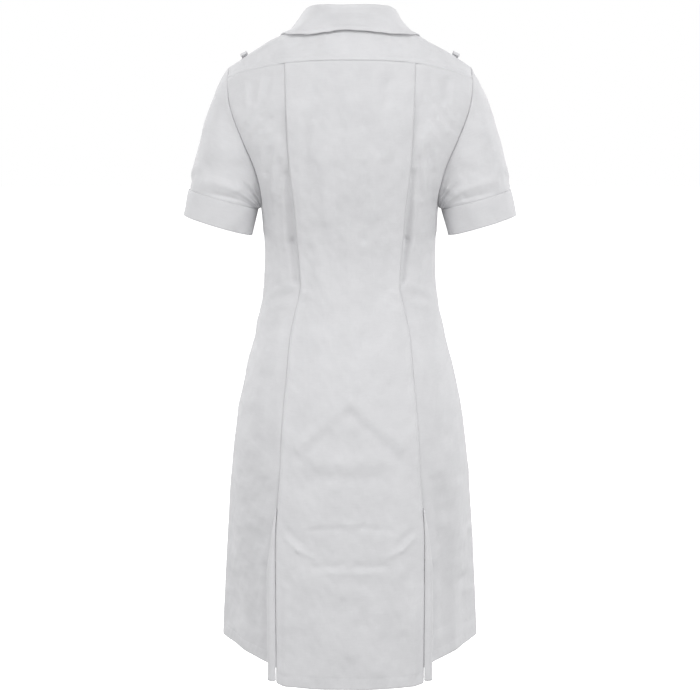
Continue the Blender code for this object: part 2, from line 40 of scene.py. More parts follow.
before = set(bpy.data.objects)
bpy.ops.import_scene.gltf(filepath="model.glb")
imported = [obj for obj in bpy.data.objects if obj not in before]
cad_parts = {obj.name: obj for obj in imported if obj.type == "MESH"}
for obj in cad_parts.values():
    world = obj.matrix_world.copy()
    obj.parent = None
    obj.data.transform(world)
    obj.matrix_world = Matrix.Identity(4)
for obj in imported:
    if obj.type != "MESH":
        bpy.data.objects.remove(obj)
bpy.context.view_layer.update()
MM = 0.001

# --- Sizes shared with the solid model ---------------------------------------

HEM_SIDE = -0.989
HEM_BACK = -1.016
HEM_FRONT = -0.999
HEM_DIP_START = -0.70
UNDERARM = -0.277
SHOULDER_TIP = -0.0564
ARMHOLE_DEPTH_BACK = 0.054
ARMHOLE_DEPTH_FRONT = 0.049
YOKE_SEAM_TURN = 35
FRONT_SEAM_TURN = 40
YOKE_SEAM_CENTRE = -0.0512
NECK_SIDE = Vector((0.070, 0.0, 0.0065))
NECK_FRONT = Vector((0.004, -0.0975, -0.092))
NECK_LOWER = Vector((0.029, -0.084, -0.0655))
NECK_UPPER = Vector((0.052, -0.062, -0.0370))
FRONT_SEAM_NECK = Vector((0.0665, -0.033, -0.0105))
FRONT_LAP = 0.014
FRONT_LAP_BLEND = 0.030
FRONT_FLAT = 1.12
CHEST_BULGE = 0.020
LAP_RISE = 0.0026
ACTION_UNDERLAP = 0.016
SEAM_UNDERLAP = 0.005
WAIST = -0.405
PLEAT_TOP = -0.735
PLEAT_FOLD = 0.0135
CUFF_OUTER_TOP = Vector((0.2578, 0.0, -0.2498))
CUFF_INNER_TOP = Vector((0.1480, 0.0, -0.2815))
CUFF_OUTER_HEM = Vector((0.2660, 0.0, -0.2913))
CUFF_INNER_HEM = Vector((0.1590, 0.0, -0.3232))
CUFF_HALF_DEPTH = 0.054
CUFF_PROUD = 0.0012
LOOP_ACROSS = 0.80
LOOP_WIDTH = 0.011
LOOP_HALF_LENGTH = 0.026
LOOP_RISE = 0.0065
LOOP_FOOT = 0.0039
LOOP_THICK = 0.0015
BUTTON_COUNT = 8
BUTTON_TOP = -0.122
BUTTON_PITCH = 0.092

# Height, then: side seam from the middle, back and front depth at the centre
# lines, princess line from the middle, how far the back has come round there,
# how far the side back lies lower, and how full the side is.
BODY_COLUMNS = ("half", "back", "front", "seam", "sag", "step", "round")
BODY = (
    (-1.016, (0.2125, 0.178, 0.166, 0.1145, 0.011, 0.029, 0.15)),
    (-0.930, (0.2085, 0.173, 0.161, 0.1150, 0.011, 0.027, 0.20)),
    (-0.850, (0.2045, 0.167, 0.154, 0.1155, 0.012, 0.021, 0.35)),
    (-0.770, (0.1995, 0.160, 0.147, 0.1150, 0.012, 0.012, 0.55)),
    (-0.700, (0.1940, 0.153, 0.140, 0.1100, 0.013, 0.0035, 0.70)),
    (-0.610, (0.1828, 0.142, 0.131, 0.1060, 0.014, 0.0021, 0.85)),
    (-0.530, (0.1663, 0.124, 0.122, 0.0990, 0.016, 0.0021, 0.95)),
    (-0.480, (0.1527, 0.106, 0.114, 0.0950, 0.016, 0.0021, 1.0)),
    (-0.440, (0.1440, 0.092, 0.107, 0.0870, 0.015, 0.0021, 1.0)),
    (-0.400, (0.1393, 0.083, 0.101, 0.0785, 0.013, 0.0026, 1.0)),
    (-0.360, (0.1376, 0.080, 0.100, 0.0805, 0.013, 0.0028, 1.0)),
    (-0.320, (0.1378, 0.083, 0.108, 0.0840, 0.013, 0.0030, 1.0)),
    (-0.277, (0.1410, 0.090, 0.119, 0.0870, 0.013, 0.0030, 1.0)),
    (-0.230, (0.1400, 0.097, 0.123, 0.0926, 0.013, 0.0030, 0.95)),
    (-0.180, (0.1400, 0.101, 0.119, 0.0964, 0.013, 0.0028, 0.90)),
    (-0.130, (0.1400, 0.102, 0.110, 0.0986, 0.013, 0.0026, 0.85)),
    (-0.090, (0.1400, 0.0995, 0.101, 0.1000, 0.014, 0.0022, 0.80)),
    (-0.050, (0.1400, 0.094, 0.090, 0.1013, 0.015, 0.0021, 0.75)),
)
ARMHOLE_OUT = (
    (0, (0.1920,)), (35, (0.1918,)), (52, (0.1912,)), (70, (0.1850,)), (93, (0.1685,)),
    (117, (0.1500,)), (148, (0.1400,)), (180, (0.1414,)),
)
COLLAR = (
    # seam                        roll                        free edge
    ((0.0000, 0.0655, 0.0135), (0.0000, 0.0745, 0.0353), (0.0000, 0.0880, -0.0005)),
    ((0.0300, 0.0625, 0.0125), (0.0325, 0.0710, 0.0353), (0.0380, 0.0865, -0.0015)),
    ((0.0520, 0.0480, 0.0110), (0.0560, 0.0540, 0.0345), (0.0780, 0.0790, -0.0055)),
    ((0.0650, 0.0270, 0.0090), (0.0690, 0.0290, 0.0320), (0.1010, 0.0500, -0.0120)),
    ((0.0700, 0.0000, 0.0065), (0.0730, 0.0000, 0.0285), (0.1130, 0.0040, -0.0150)),
    ((0.0665, -0.0330, -0.0105), (0.0710, -0.0350, 0.0120), (0.1120, -0.0420, -0.0310)),
    ((0.0500, -0.0640, -0.0390), (0.0560, -0.0690, -0.0200), (0.1010, -0.0790, -0.0640)),
    ((0.0270, -0.0860, -0.0680), (0.0330, -0.0930, -0.0530), (0.0850, -0.1010, -0.0980)),
    ((0.0080, -0.0970, -0.0890), (0.0120, -0.1040, -0.0830), (0.0600, -0.1080, -0.1260)),
)
COLLAR_LIES_FLAT = -0.06
COLLAR_CLEAR = 0.0030     # least height of the collar's face over the cloth below
COLLAR_HOVER = 0.0042     # height of its free edge over the yoke
COLLAR_REACH = 0.035      # how far it looks for the cloth it lies on
COLLAR_HOLLOW = 0.05      # how hollow the fall is, as a share of its length
COLLAR_THICK = 0.0017
COLLAR_SMOOTHINGS = 10
COLLAR_LEAF_ROW = 27      # the fine row where the stand ends and the fall begins
CUFF_TURN_UP = 0.034

# --- Stage -------------------------------------------------------------------

FLOOR_LEVEL = -1.45
STAGE_REACH = 40.0
CAMERA_PLACE = (0.0, 2.25, -0.1779)
CAMERA_PITCH = math.radians(6.59)
CAMERA_LENS = 71.8
CAMERA_SHIFT = -0.064
LIGHTS_AIM = Vector((0.0, 0.0, -0.45))
# Name, place, size in metres and power in watts.
LIGHTS = (
    ("key_back", (-0.8, 2.4, 2.3), 1.0, 38.0),
    ("left_back", (2.7, 2.0, 0.3), 1.8, 38.0),
    ("right_back", (-2.7, 2.0, 0.1), 1.8, 32.0),
    ("key_front", (0.8, -2.4, 2.3), 1.0, 38.0),
    ("left_front", (2.7, -2.0, 0.1), 1.8, 32.0),
    ("right_front", (-2.7, -2.0, 0.3), 1.8, 38.0),
)

# --- Creases ---------------------------------------------------------------
# Each row is a soft ridge along a straight line on the cloth, in millimetres:
# start and end (across, height), half width and rise. A negative rise is a
# trough. "across" is measured from the middle of the dress.

BACK_CREASES = (
    (0, -115, 0, -215, 10, 1.1), (3, -235, 0, -400, 11, 1.2), (56, -150, 58, -195, 8, 1.3),
    (-55, -150, -59, -197, 8, 1.3), (40, -205, 37, -295, 9, 1.1), (-39, -200, -38, -290, 9, 1.0),
    (24, -215, 22, -330, 6, -0.8), (-22, -210, -21, -325, 6, -0.8),
    (60, -88, 61, -112, 13, -1.4), (-61, -86, -60, -110, 13, -1.4),
    (22, -75, 20, -150, 10, -0.7), (-24, -78, -20, -150, 10, -0.7),
    (80, -120, 78, -330, 7, 0.6), (-80, -120, -78, -330, 7, 0.6),
    (55, -330, 48, -390, 10, 0.9), (-54, -330, -50, -392, 10, 0.9),
    (66, -408, 88, -416, 4, 0.7), (-66, -410, -88, -417, 4, 0.7),
    (64, -422, 92, -430, 4, -0.6), (-66, -421, -92, -431, 4, -0.6),
    (70, -437, 94, -444, 5, 0.6), (-70, -438, -94, -445, 5, 0.6),
    (-12, -418, 30, -424, 10, 0.5), (-40, -455, 5, -462, 14, 0.6), (20, -490, 66, -500, 16, -0.6),
    (2, -572, 80, -642, 9, 1.2), (-2, -572, -80, -642, 9, 1.2),
    (0, -592, 74, -660, 9, -1.0), (0, -592, -74, -660, 9, -1.0),
    (-50, -664, 50, -664, 14, 1.3), (-44, -690, 44, -688, 11, -1.0),
    (97, -784, 80, -800, 4, 1.1), (80, -800, 58, -810, 4, 1.0),
    (-97, -784, -80, -800, 4, 1.1), (-80, -800, -58, -810, 4, 1.0),
    (95, -772, 76, -789, 6, -0.9), (-95, -772, -76, -789, 6, -0.9),
    (18, -765, 62, -769, 5, -0.8), (-18, -764, -62, -770, 5, -0.8),
    (-12, -759, 10, -758, 5, 0.7), (10, -822, 56, -826, 6, -0.9), (-12, -823, -58, -825, 6, -0.9),
    (-34, -835, 32, -833, 5, 0.8), (-20, -852, 26, -849, 7, -0.5),
    (72, -845, 86, -915, 13, 1.2), (-74, -842, -84, -920, 13, 1.2),
    (50, -905, 46, -985, 14, 1.0), (-48, -900, -46, -985, 14, 1.0),
    (12, -880, 24, -912, 8, -0.9), (-12, -880, -22, -914, 8, -0.9),
    (0, -905, 0, -960, 8, 0.8), (99, -860, 101, -990, 6, 0.9), (-99, -860, -101, -990, 6, 0.9),
)
SIDE_CREASES = (
    (124, -76, 129, -98, 5, -0.7), (138, -80, 143, -104, 4, 0.7), (151, -84, 152, -112, 5, -0.7),
    (163, -88, 160, -118, 4, 0.6), (118, -112, 132, -131, 4, 0.7), (134, -116, 149, -137, 4, -0.8),
    (147, -123, 160, -142, 4, 0.8), (122, -138, 137, -156, 4, -0.7), (139, -143, 153, -163, 4, 0.8),
    (126, -160, 140, -178, 4, 0.7), (152, -146, 166, -160, 4, -0.6), (112, -172, 118, -206, 5, 0.9),
    (124, -186, 132, -222, 5, -0.9), (136, -192, 141, -236, 4, 0.8), (108, -205, 111, -262, 5, -1.0),
    (118, -216, 121, -282, 5, 1.1), (129, -224, 132, -300, 4, -0.9), (138, -244, 139, -318, 4, 0.7),
    (104, -268, 102, -340, 5, 0.8), (98, -226, 90, -330, 7, -2.2), (90, -330, 84, -392, 6, -2.4),
    (116, -320, 110, -392, 7, 0.8), (126, -350, 118, -402, 7, -0.7), (92, -398, 116, -408, 5, 0.9),
    (92, -412, 122, -423, 5, -0.8), (94, -428, 120, -436, 5, 0.7), (130, -420, 142, -470, 10, 0.9),
    (112, -452, 118, -530, 10, 0.8), (136, -520, 146, -610, 11, 1.0), (122, -560, 128, -655, 9, -0.9),
    (168, -590, 178, -690, 10, 0.9), (150, -640, 150, -760, 12, -1.4), (134, -700, 136, -800, 9, -1.2),
    (172, -720, 182, -860, 13, 1.6), (150, -790, 150, -940, 13, -1.8), (194, -790, 202, -960, 8, -0.9),
    (168, -850, 170, -985, 10, 1.2), (130, -840, 132, -985, 8, -1.6), (186, -880, 190, -985, 8, -1.0),
    (196, -800, 206, -812, 6, 0.8), (188, -902, 204, -910, 7, 0.7),
)
FRONT_CREASES = (
    (30, -130, 34, -215, 12, 0.9), (60, -150, 66, -230, 10, -0.9), (88, -140, 84, -220, 9, 0.9),
    (128, -118, 112, -150, 5, 0.9), (138, -134, 120, -170, 5, -0.9), (140, -160, 122, -198, 5, 0.8),
    (134, -196, 116, -232, 5, -0.8), (130, -236, 100, -272, 6, 1.0), (128, -262, 96, -296, 6, -1.0),
    (70, -262, 58, -380, 9, 1.1), (92, -290, 82, -396, 7, -1.0), (36, -290, 32, -392, 9, -0.8),
    (104, -396, 72, -406, 5, 0.9), (112, -414, 76, -424, 5, -0.9), (98, -432, 60, -440, 6, 0.8),
    (20, -420, 52, -428, 8, 0.6), (56, -470, 72, -600, 13, 1.2), (92, -500, 108, -640, 12, -1.1),
    (28, -560, 70, -640, 12, -0.8), (130, -560, 146, -700, 12, 1.2), (60, -680, 66, -860, 15, -1.5),
    (98, -700, 108, -980, 15, 1.9), (140, -740, 146, -985, 14, -1.8), (172, -760, 184, -985, 12, 1.3),
    (34, -820, 36, -990, 13, 1.4), (74, -880, 78, -990, 13, -1.6), (120, -900, 124, -990, 10, -1.1),
    (-4, -700, -2, -980, 8, 0.5),
)
YOKE_CREASES = (
    (36, -14, 40, -44, 9, 1.0), (-35, -15, -41, -44, 9, 1.0), (72, -20, 60, -46, 8, -0.9),
    (-72, -19, -61, -47, 8, -0.9), (0, -14, 0, -40, 12, -0.5), (104, -26, 90, -52, 8, 0.9),
    (-105, -25, -91, -52, 8, 0.9), (126, -36, 116, -60, 6, -0.8), (-126, -37, -117, -59, 6, -0.8),
    (146, -42, 138, -64, 6, 0.8), (-146, -41, -138, -65, 6, 0.8), (166, -50, 160, -70, 5, -0.6),
    (-166, -50, -161, -70, 5, -0.6),
)
# The same for a sleeve: around the arm in degrees from the outer side (90 is
# the back) and the share of the way down from armhole to cuff seam, in percent.
SLEEVE_CREASES = (
    # angle, share  angle, share, width in percent, rise in millimetres
    (150, 62, 55, 88, 5.0, 1.5), (158, 76, 60, 99, 3.5, -1.3), (160, 44, 112, 66, 5.0, 1.2),
    (165, 32, 120, 50, 4.5, -1.1), (170, 20, 128, 36, 4.0, 0.9), (40, 80, -8, 92, 4.5, 1.1),
    (28, 88, -16, 99, 3.5, -1.0), (95, 30, 70, 58, 7.0, 0.7), (60, 12, 30, 40, 7.0, -0.7),
    (-150, 58, -62, 86, 5.0, 1.4), (-156, 72, -66, 98, 4.0, -1.2), (-162, 40, -110, 62, 5.0, 1.1),
    (-166, 27, -118, 46, 4.5, -1.0), (-90, 28, -70, 56, 7.0, 0.7), (-60, 14, -30, 44, 7.0, -0.6),
    (178, 70, 120, 86, 4.0, 0.9), (-178, 68, -120, 84, 4.0, 0.9),
)

# --- Colours and sizes a user would change -----------------------------------


def linear(hex_code):
    """An sRGB hex colour as linear red, green and blue, with full alpha."""
    parts = [int(hex_code[i:i + 2], 16) / 255 for i in (0, 2, 4)]
    return tuple(c / 12.92 if c <= 0.04045 else ((c + 0.055) / 1.055) ** 2.4 for c in parts) + (1.0,)


class DressSizes(bpy.types.PropertyGroup):
    """Sizes of the cloth and its sewing."""

    cloth: bpy.props.FloatProperty(
        name="Cloth thickness", description="Thickness of one layer of cloth",
        default=0.0009, min=0.0003, max=0.0015, precision=5, unit="LENGTH")
    crease: bpy.props.FloatProperty(
        name="Crease depth",
        description="Depth of the creases, 1 for a dress that has just been pressed",
        default=1.6, min=0.0, max=3.0)
    hem: bpy.props.FloatProperty(
        name="Hem", description="Depth of the turned-up hem",
        default=0.017, min=0.008, max=0.04, precision=4, unit="LENGTH")
    stitch: bpy.props.FloatProperty(
        name="Stitch length", description="Distance from one stitch to the next",
        default=0.0026, min=0.002, max=0.005, precision=5, unit="LENGTH")
    button: bpy.props.FloatProperty(
        name="Button radius", description="Radius of a front button",
        default=0.0075, min=0.006, max=0.009, precision=4, unit="LENGTH")


class DressColours(bpy.types.PropertyGroup):
    """Colours of the dress."""

    cloth: bpy.props.FloatVectorProperty(
        name="Cloth", description="Colour of the cloth", subtype="COLOR", size=4,
        min=0.0, max=1.0, default=linear("D5D5D7"))
    cloth_shade: bpy.props.FloatVectorProperty(
        name="Cloth, darker yarn", description="Colour where the yarn is a little thicker",
        subtype="COLOR", size=4, min=0.0, max=1.0, default=linear("CDCDCF"))
    thread: bpy.props.FloatVectorProperty(
        name="Thread", description="Colour of the sewing thread", subtype="COLOR", size=4,
        min=0.0, max=1.0, default=linear("DCDDDF"))
    button: bpy.props.FloatVectorProperty(
        name="Buttons", description="Colour of the buttons", subtype="COLOR", size=4,
        min=0.0, max=1.0, default=linear("DDDDDA"))
    floor: bpy.props.FloatVectorProperty(
        name="Floor", description="Colour of the floor", subtype="COLOR", size=4,
        min=0.0, max=1.0, default=linear("FAFAFA"))


# --- Lines and tables --------------------------------------------------------


def between(table, at):
    """Smooth values of a table whose rows are (key, values), at one key."""
    rows = sorted(table)
    at = min(max(at, rows[0][0]), rows[-1][0])
    last = next(i for i in range(1, len(rows)) if at <= rows[i][0])
    near = [rows[max(0, min(len(rows) - 1, last + shift))] for shift in (-2, -1, 0, 1)]
    span = near[2][0] - near[1][0]
    part = (at - near[1][0]) / span
    values = []
    for before, start, end, after in zip(*(row[1] for row in near)):
        rise = end - start
        slope_in = rise if near[0] is near[1] else (end - before) * span / (near[2][0] - near[0][0])
        slope_out = rise if near[3] is near[2] else (after - start) * span / (near[3][0] - near[1][0])
        if rise * slope_in <= 0:
            slope_in = 0.0
        if rise * slope_out <= 0:
            slope_out = 0.0
        bend = (2 * part ** 3 - 3 * part ** 2 + 1) * start + (3 * part ** 2 - 2 * part ** 3) * end
        bend += (part ** 3 - 2 * part ** 2 + part) * slope_in + (part ** 3 - part ** 2) * slope_out
        values.append(bend)
    return values


def body(height):
    """The body's sizes at one height, by column name."""
    return dict(zip(BODY_COLUMNS, between(BODY, height)))


def armhole(turn):
    """A point on the left armhole; turn is in degrees, positive round the back."""
    angle = math.radians(abs(turn))
    depth = ARMHOLE_DEPTH_BACK if turn > 0 else -ARMHOLE_DEPTH_FRONT
    middle = (SHOULDER_TIP + UNDERARM) / 2
    reach = (SHOULDER_TIP - UNDERARM) / 2
    out = between(ARMHOLE_OUT, abs(turn))[0]
    return Vector((out, depth * math.sin(angle), middle + reach * math.cos(angle)))


def smooth_step(value, start, end):
    """0 before start, 1 after end, and an even change between them."""
    part = np.clip((value - start) / (end - start), 0.0, 1.0)
    return part * part * (3 - 2 * part)


def spread(start, end, count):
    """count + 1 numbers from start to end."""
    return [start + (end - start) * i / count for i in range(count + 1)]


def along(points, part):
    """A point at a part (0 to 1) of the length of a line of points."""
    lengths = [(b - a).length for a, b in zip(points, points[1:])]
    left = part * sum(lengths)
    for start, end, length in zip(points, points[1:], lengths):
        if left <= length:
            return start.lerp(end, left / length)
        left -= length
    return points[-1].copy()


def resample(points, count):
    """The same line with count + 1 evenly spaced points."""
    return [along(points, i / count) for i in range(count + 1)]


def coons(bottom, top, left, right):
    """A patch between four border lines; rows run from bottom to top."""
    rows = []
    for j in range(len(left)):
        v = j / (len(left) - 1)
        row = []
        for i in range(len(bottom)):
            u = i / (len(bottom) - 1)
            ruled = bottom[i].lerp(top[i], v) + left[j].lerp(right[j], u)
            corners = bottom[0].lerp(bottom[-1], u).lerp(top[0].lerp(top[-1], u), v)
            row.append(ruled - corners)
        rows.append(row)
    return rows


# --- The lines the pieces are cut to -----------------------------------------


def armhole_turns(first, last, count):
    """Turns round the armhole, from first to last, that lie at even heights."""
    levels = spread(math.cos(math.radians(first)), math.cos(math.radians(last)), count)
    return [math.degrees(math.acos(max(-1.0, level))) for level in levels]


SKIRT_ROWS = spread(-1.0, -0.292, 46)
ARMHOLE_TURNS = armhole_turns(180, YOKE_SEAM_TURN, 13)
CHEST_TURNS = armhole_turns(180, 84, 8)
FRONT_TOP_TURNS = spread(64, FRONT_SEAM_TURN, 6)
NECK_TURN = 76
HEM_FADE = HEM_DIP_START - SKIRT_ROWS[0]


def hem_level(height, low):
    """A skirt row's height where the hem hangs at low."""
    share = min(max((HEM_DIP_START - height) / HEM_FADE, 0.0), 1.0)
    return height + (low - SKIRT_ROWS[0]) * share ** 2


def back_line(height, x):
    """Depth of the centre back's outer face at one height."""
    size = body(height)
    return size["back"] - size["sag"] * (x / size["seam"]) ** 2


def side_curve(height, edge, parts):
    """The side back's outer face from the princess line to edge."""
    size = body(height)
    start = Vector((size["seam"], size["back"] - size["sag"] - size["step"], 0.0))
    finish = Vector((edge.x, edge.y, 0.0))
    slope = 2 * size["sag"] / size["seam"]
    corner = Vector((finish.x, start.y - slope * (finish.x - start.x), 0.0))
    pull = ((start + finish) / 2).lerp(corner, size["round"])
    return [start * (1 - t) ** 2 + pull * 2 * t * (1 - t) + finish * t ** 2 for t in parts]


def yoke_drop(row_centre, edge, x):
    """Height along a row that sinks towards the armhole."""
    return row_centre + (edge.z - row_centre) * (x / edge.x) ** 3


def back_rows():
    """(centre height, edge point) of each row of the back, hem to yoke."""
    rows = [(height, Vector((body(height)["half"], 0.0, height))) for height in SKIRT_ROWS]
    for turn in ARMHOLE_TURNS:
        edge = armhole(turn)
        tilt = smooth_step(180 - turn, 0, 180 - YOKE_SEAM_TURN)
        rows.append((edge.z + (YOKE_SEAM_CENTRE - armhole(YOKE_SEAM_TURN).z) * tilt ** 2, edge))
    return rows


def centre_back_lines():
    """Rows of the centre back, from the wearer's left to right, hem to yoke."""
    rows = []
    for height, edge in back_rows():
        seam = body(height)["seam"]
        row = []
        for x in spread(seam, -seam, 18):
            corner = float(smooth_step(abs(x) / seam, 0.90, 1.0))
            low = hem_level(height, HEM_BACK + 0.004 * (x / seam) ** 2 + 0.0035 * corner)
            level = low if height < HEM_DIP_START else yoke_drop(height, edge, abs(x))
            row.append(Vector((x, back_line(height, x), level)))
        rows.append(row)
    return rows


def side_back_lines():
    """Rows of the left side back, from the side seam in to its tucked edge."""
    rows = []
    for height, edge in back_rows():
        size = body(height)
        above = float(smooth_step(height, WAIST - 0.02, WAIST + 0.01))
        tuck = SEAM_UNDERLAP + (ACTION_UNDERLAP - SEAM_UNDERLAP) * above
        row = []
        for part in (1.0, 0.5):
            x = size["seam"] - tuck * part
            row.append(Vector((x, back_line(height, x) - size["step"], 0.0)))
        row += side_curve(height, edge, spread(0.0, 1.0, 12))
        for point in row:
            low = HEM_SIDE - 0.006 * (edge.x - point.x) / (edge.x - size["seam"])
            skirt = height < HEM_DIP_START
            point.z = hem_level(height, low) if skirt else yoke_drop(height, edge, max(point.x, 0.0))
        rows.append(row[::-1])
    return rows


def pleat_lines():
    """Rows of the left kick pleat: folded edge, then the fold inside it."""
    rows = []
    for height in [h for h in SKIRT_ROWS if h <= PLEAT_TOP]:
        size = body(height)
        top = size["back"] - size["sag"]
        inner = size["step"] - 0.0011
        opened = float(smooth_step(-height, -PLEAT_TOP - 0.01, 0.85))
        fold = PLEAT_FOLD * (0.14 + 0.86 * opened)
        profile = (
            (0.0004, -0.0004), (fold * 0.20, 0.0006 * opened), (fold * 0.40, 0.0012 * opened),
            (fold * 0.64, 0.0007 * opened), (fold * 0.86, -0.0010), (fold, -inner * 0.16 - 0.0010),
            (fold * 0.93, -inner * 0.33), (fold * 0.75, -inner * 0.50), (fold * 0.58, -inner * 0.66),
            (fold * 0.43, -inner * 0.82), (fold * 0.30, -inner),
        )
        level = hem_level(height, HEM_BACK + 0.011)
        rows.append([Vector((size["seam"] + x, top + y, level)) for x, y in profile[::-1]])
    return rows


def front_curve(height, edge, count):
    """(x, depth) of the front's outer face: an oval from its lap to edge."""
    size = body(height)
    side = math.radians(90 - 34 * float(smooth_step(height, UNDERARM, -0.09)))
    lap = math.asin((FRONT_LAP / edge.x) ** FRONT_FLAT * math.sin(side))
    points = []
    for angle in [-lap, 0.0] + spread(lap, side, count - 2):
        x = edge.x * (abs(math.sin(angle)) / math.sin(side)) ** (1 / FRONT_FLAT)
        fall = (1 - math.cos(angle)) / (1 - math.cos(side))
        points.append((math.copysign(x, angle), -(size["front"] - (size["front"] + edge.y) * fall)))
    return points


def chest_line(start, edge, count):
    """A line over the chest from the neckline to the armhole."""
    points = []
    for part in spread(0.0, 1.0, count):
        bulge = CHEST_BULGE * math.sin(math.pi * part) * min(1.0, -start.z / 0.06 + 0.25)
        depth = start.y + (edge.y - start.y) * part ** 1.15 - bulge
        level = start.z + (edge.z - start.z) * part ** 0.9
        points.append(Vector((start.x + (edge.x - start.x) * part, depth, level)))
    return points


def front_lines(over):
    """Rows of a left front from its lap to the side; one that lies over stands prouder."""
    steps = 16
    rows = []
    for height in SKIRT_ROWS:
        edge = Vector((body(height)["half"], 0.0, height))
        row = []
        for x, depth in front_curve(height, edge, steps):
            low = HEM_FRONT + (HEM_SIDE - HEM_FRONT) * (max(x, 0.0) / edge.x) ** 2
            row.append(Vector((x, depth, hem_level(height, low))))
        rows.append(row)
    for turn in CHEST_TURNS + [NECK_TURN]:
        edge = armhole(-turn)
        rise = 0.030 * float(smooth_step(180 - turn, 0, 180 - NECK_TURN)) ** 2
        height = NECK_FRONT.z - 0.012 if turn == NECK_TURN else edge.z + rise
        row = []
        for x, depth in front_curve(height, edge, steps):
            row.append(Vector((x, depth, height + (edge.z - height) * (max(x, 0.0) / edge.x) ** 2)))
        rows.append(row)
    neckline = [NECK_FRONT, NECK_LOWER, NECK_UPPER, FRONT_SEAM_NECK]
    for number, turn in enumerate(FRONT_TOP_TURNS):
        start = along(neckline, number / (len(FRONT_TOP_TURNS) - 1))
        rows.append(chest_line(start, armhole(-turn), steps))
    if over:
        for row in rows:
            for point in row:
                blend = smooth_step(point.x, FRONT_LAP, FRONT_LAP + FRONT_LAP_BLEND)
                point.y -= LAP_RISE * (1 - float(blend))
    return rows


def collar_lines(at):
    """The collar's neck seam, roll and edge at a place between its table's rows."""
    keys = [(number, [c for point in row for c in point]) for number, row in enumerate(COLLAR)]
    values = between(keys, at)
    return [Vector(values[first:first + 3]) for first in (0, 3, 6)]


def yoke_lines():
    """The left half of the yoke from the back seam over the shoulder to the front seam."""
    across = 18
    height = YOKE_SEAM_CENTRE
    edge = armhole(YOKE_SEAM_TURN)
    size = body(height)
    inner = [Vector((x, back_line(height, x), 0.0)) for x in spread(0.0, size["seam"], 10)]
    outer = side_curve(height, edge, spread(0.25, 1.0, 6))
    for number, point in enumerate(outer):
        point.y += size["step"] * (0.75 - number / 8)
    bottom = inner + outer
    for point in bottom:
        point.z = yoke_drop(height, edge, point.x)
    bottom = resample(bottom, across)
    tip = armhole(0)
    top = []
    for part in spread(0.0, 1.0, across):
        point = NECK_SIDE.lerp(tip, part)
        point.z -= 0.0025 * math.sin(math.pi * part)
        top.append(point)
    neck = [collar_lines(at)[0] for at in spread(0.0, 4.0, 16)]
    left = [bottom[0].lerp(neck[0], part) for part in spread(0.0, 1.0, 8)] + neck[1:]
    right = [armhole(turn) for turn in spread(YOKE_SEAM_TURN, 25, 8) + spread(25, 0.001, 16)[1:]]
    back = coons(bottom, top, left, right)
    front_left = [collar_lines(at)[0] for at in spread(4.0, 5.0, 6)]
    front_right = [armhole(-turn) for turn in spread(0.001, FRONT_SEAM_TURN, 6)]
    front = coons(top, chest_line(front_left[-1], front_right[-1], across), front_left, front_right)
    for patch, push in ((back, (0.004, 0.0045)), (front, (0.0, 0.004))):
        for j, row in enumerate(patch):
            for i, point in enumerate(row):
                swell = math.sin(math.pi * j / (len(patch) - 1)) * math.sin(math.pi * i / across)
                point.y += push[0] * swell
                point.z += push[1] * swell
    return back + front[1:]


def sleeve_ring(outer, inner, angle):
    """A point of the cuff's oval; 0 is the outer side and 90 degrees the back."""
    half = (outer - inner) / 2
    depth = Vector((0.0, CUFF_HALF_DEPTH * math.sin(angle), 0.0))
    return (outer + inner) / 2 + half * math.cos(angle) + depth


def sleeve_lines(faces, steps):
    """Rows of the left sleeve, from cuff seam up to armhole, and of its cuff, from hem up."""
    axis = (CUFF_OUTER_HEM - CUFF_OUTER_TOP).normalized()
    middle = (CUFF_OUTER_HEM + CUFF_INNER_HEM) / 2
    sleeve = [[] for _ in range(steps + 1)]
    cuff = [[] for _ in range(7)]
    for number in range(faces):
        turn = number * 360 / faces
        start = armhole(turn if turn <= 180 else turn - 360)
        angle = math.radians(turn)
        top = sleeve_ring(CUFF_OUTER_TOP, CUFF_INNER_TOP, angle)
        hem = sleeve_ring(CUFF_OUTER_HEM, CUFF_INNER_HEM, angle)
        share = (start.z - UNDERARM) / (SHOULDER_TIP - UNDERARM)
        leave = axis.lerp(Vector((0.62, 0.0, -0.78)), min(1.0, share * 1.25)).normalized()
        finish = top + (hem - top).normalized() * 0.004
        reach = (finish - start).length
        near = start + leave * reach * 0.22
        far = finish - axis * reach * 0.40
        for row, t in zip(sleeve, spread(0.0, 1.0, steps)):
            early = start * (1 - t) ** 3 + near * 3 * t * (1 - t) ** 2
            row.append(early + far * 3 * t ** 2 * (1 - t) + finish * t ** 3)
        out = (hem - middle).normalized() * CUFF_PROUD
        for row, t in zip(cuff, spread(0.0, 1.0, 6)):
            row.append(top.lerp(hem, t) + out)
    return sleeve[::-1], cuff[::-1]


def collar_section(seam, roll, edge):
    """The collar's cut at one place: up the stand, over the roll, down to the edge."""
    seam = seam + Vector((0.0, 0.0, 0.0011))
    outward = Vector((edge.x - seam.x, edge.y - seam.y, 0.0)).normalized()
    turn = min(0.0032, (roll.z - seam.z) * 0.3)
    stand = seam + outward * 0.0012
    stand_top = roll - outward * turn - Vector((0.0, 0.0, turn))
    leaf_top = roll + outward * turn - Vector((0.0, 0.0, turn * 1.2))
    fall = edge - leaf_top
    hollow = Vector((-outward.x, -outward.y, -0.7)) * fall.length * COLLAR_HOLLOW
    points = [stand, stand.lerp(stand_top, 0.4), stand.lerp(stand_top, 0.75)]
    points += [stand_top, roll, leaf_top]
    for part in (0.2, 0.4, 0.6, 0.8):
        points.append(leaf_top + fall * part + hollow * math.sin(math.pi * part))
    points.append(edge)
    return points


# --- Grids: finer, creased, thickened ----------------------------------------


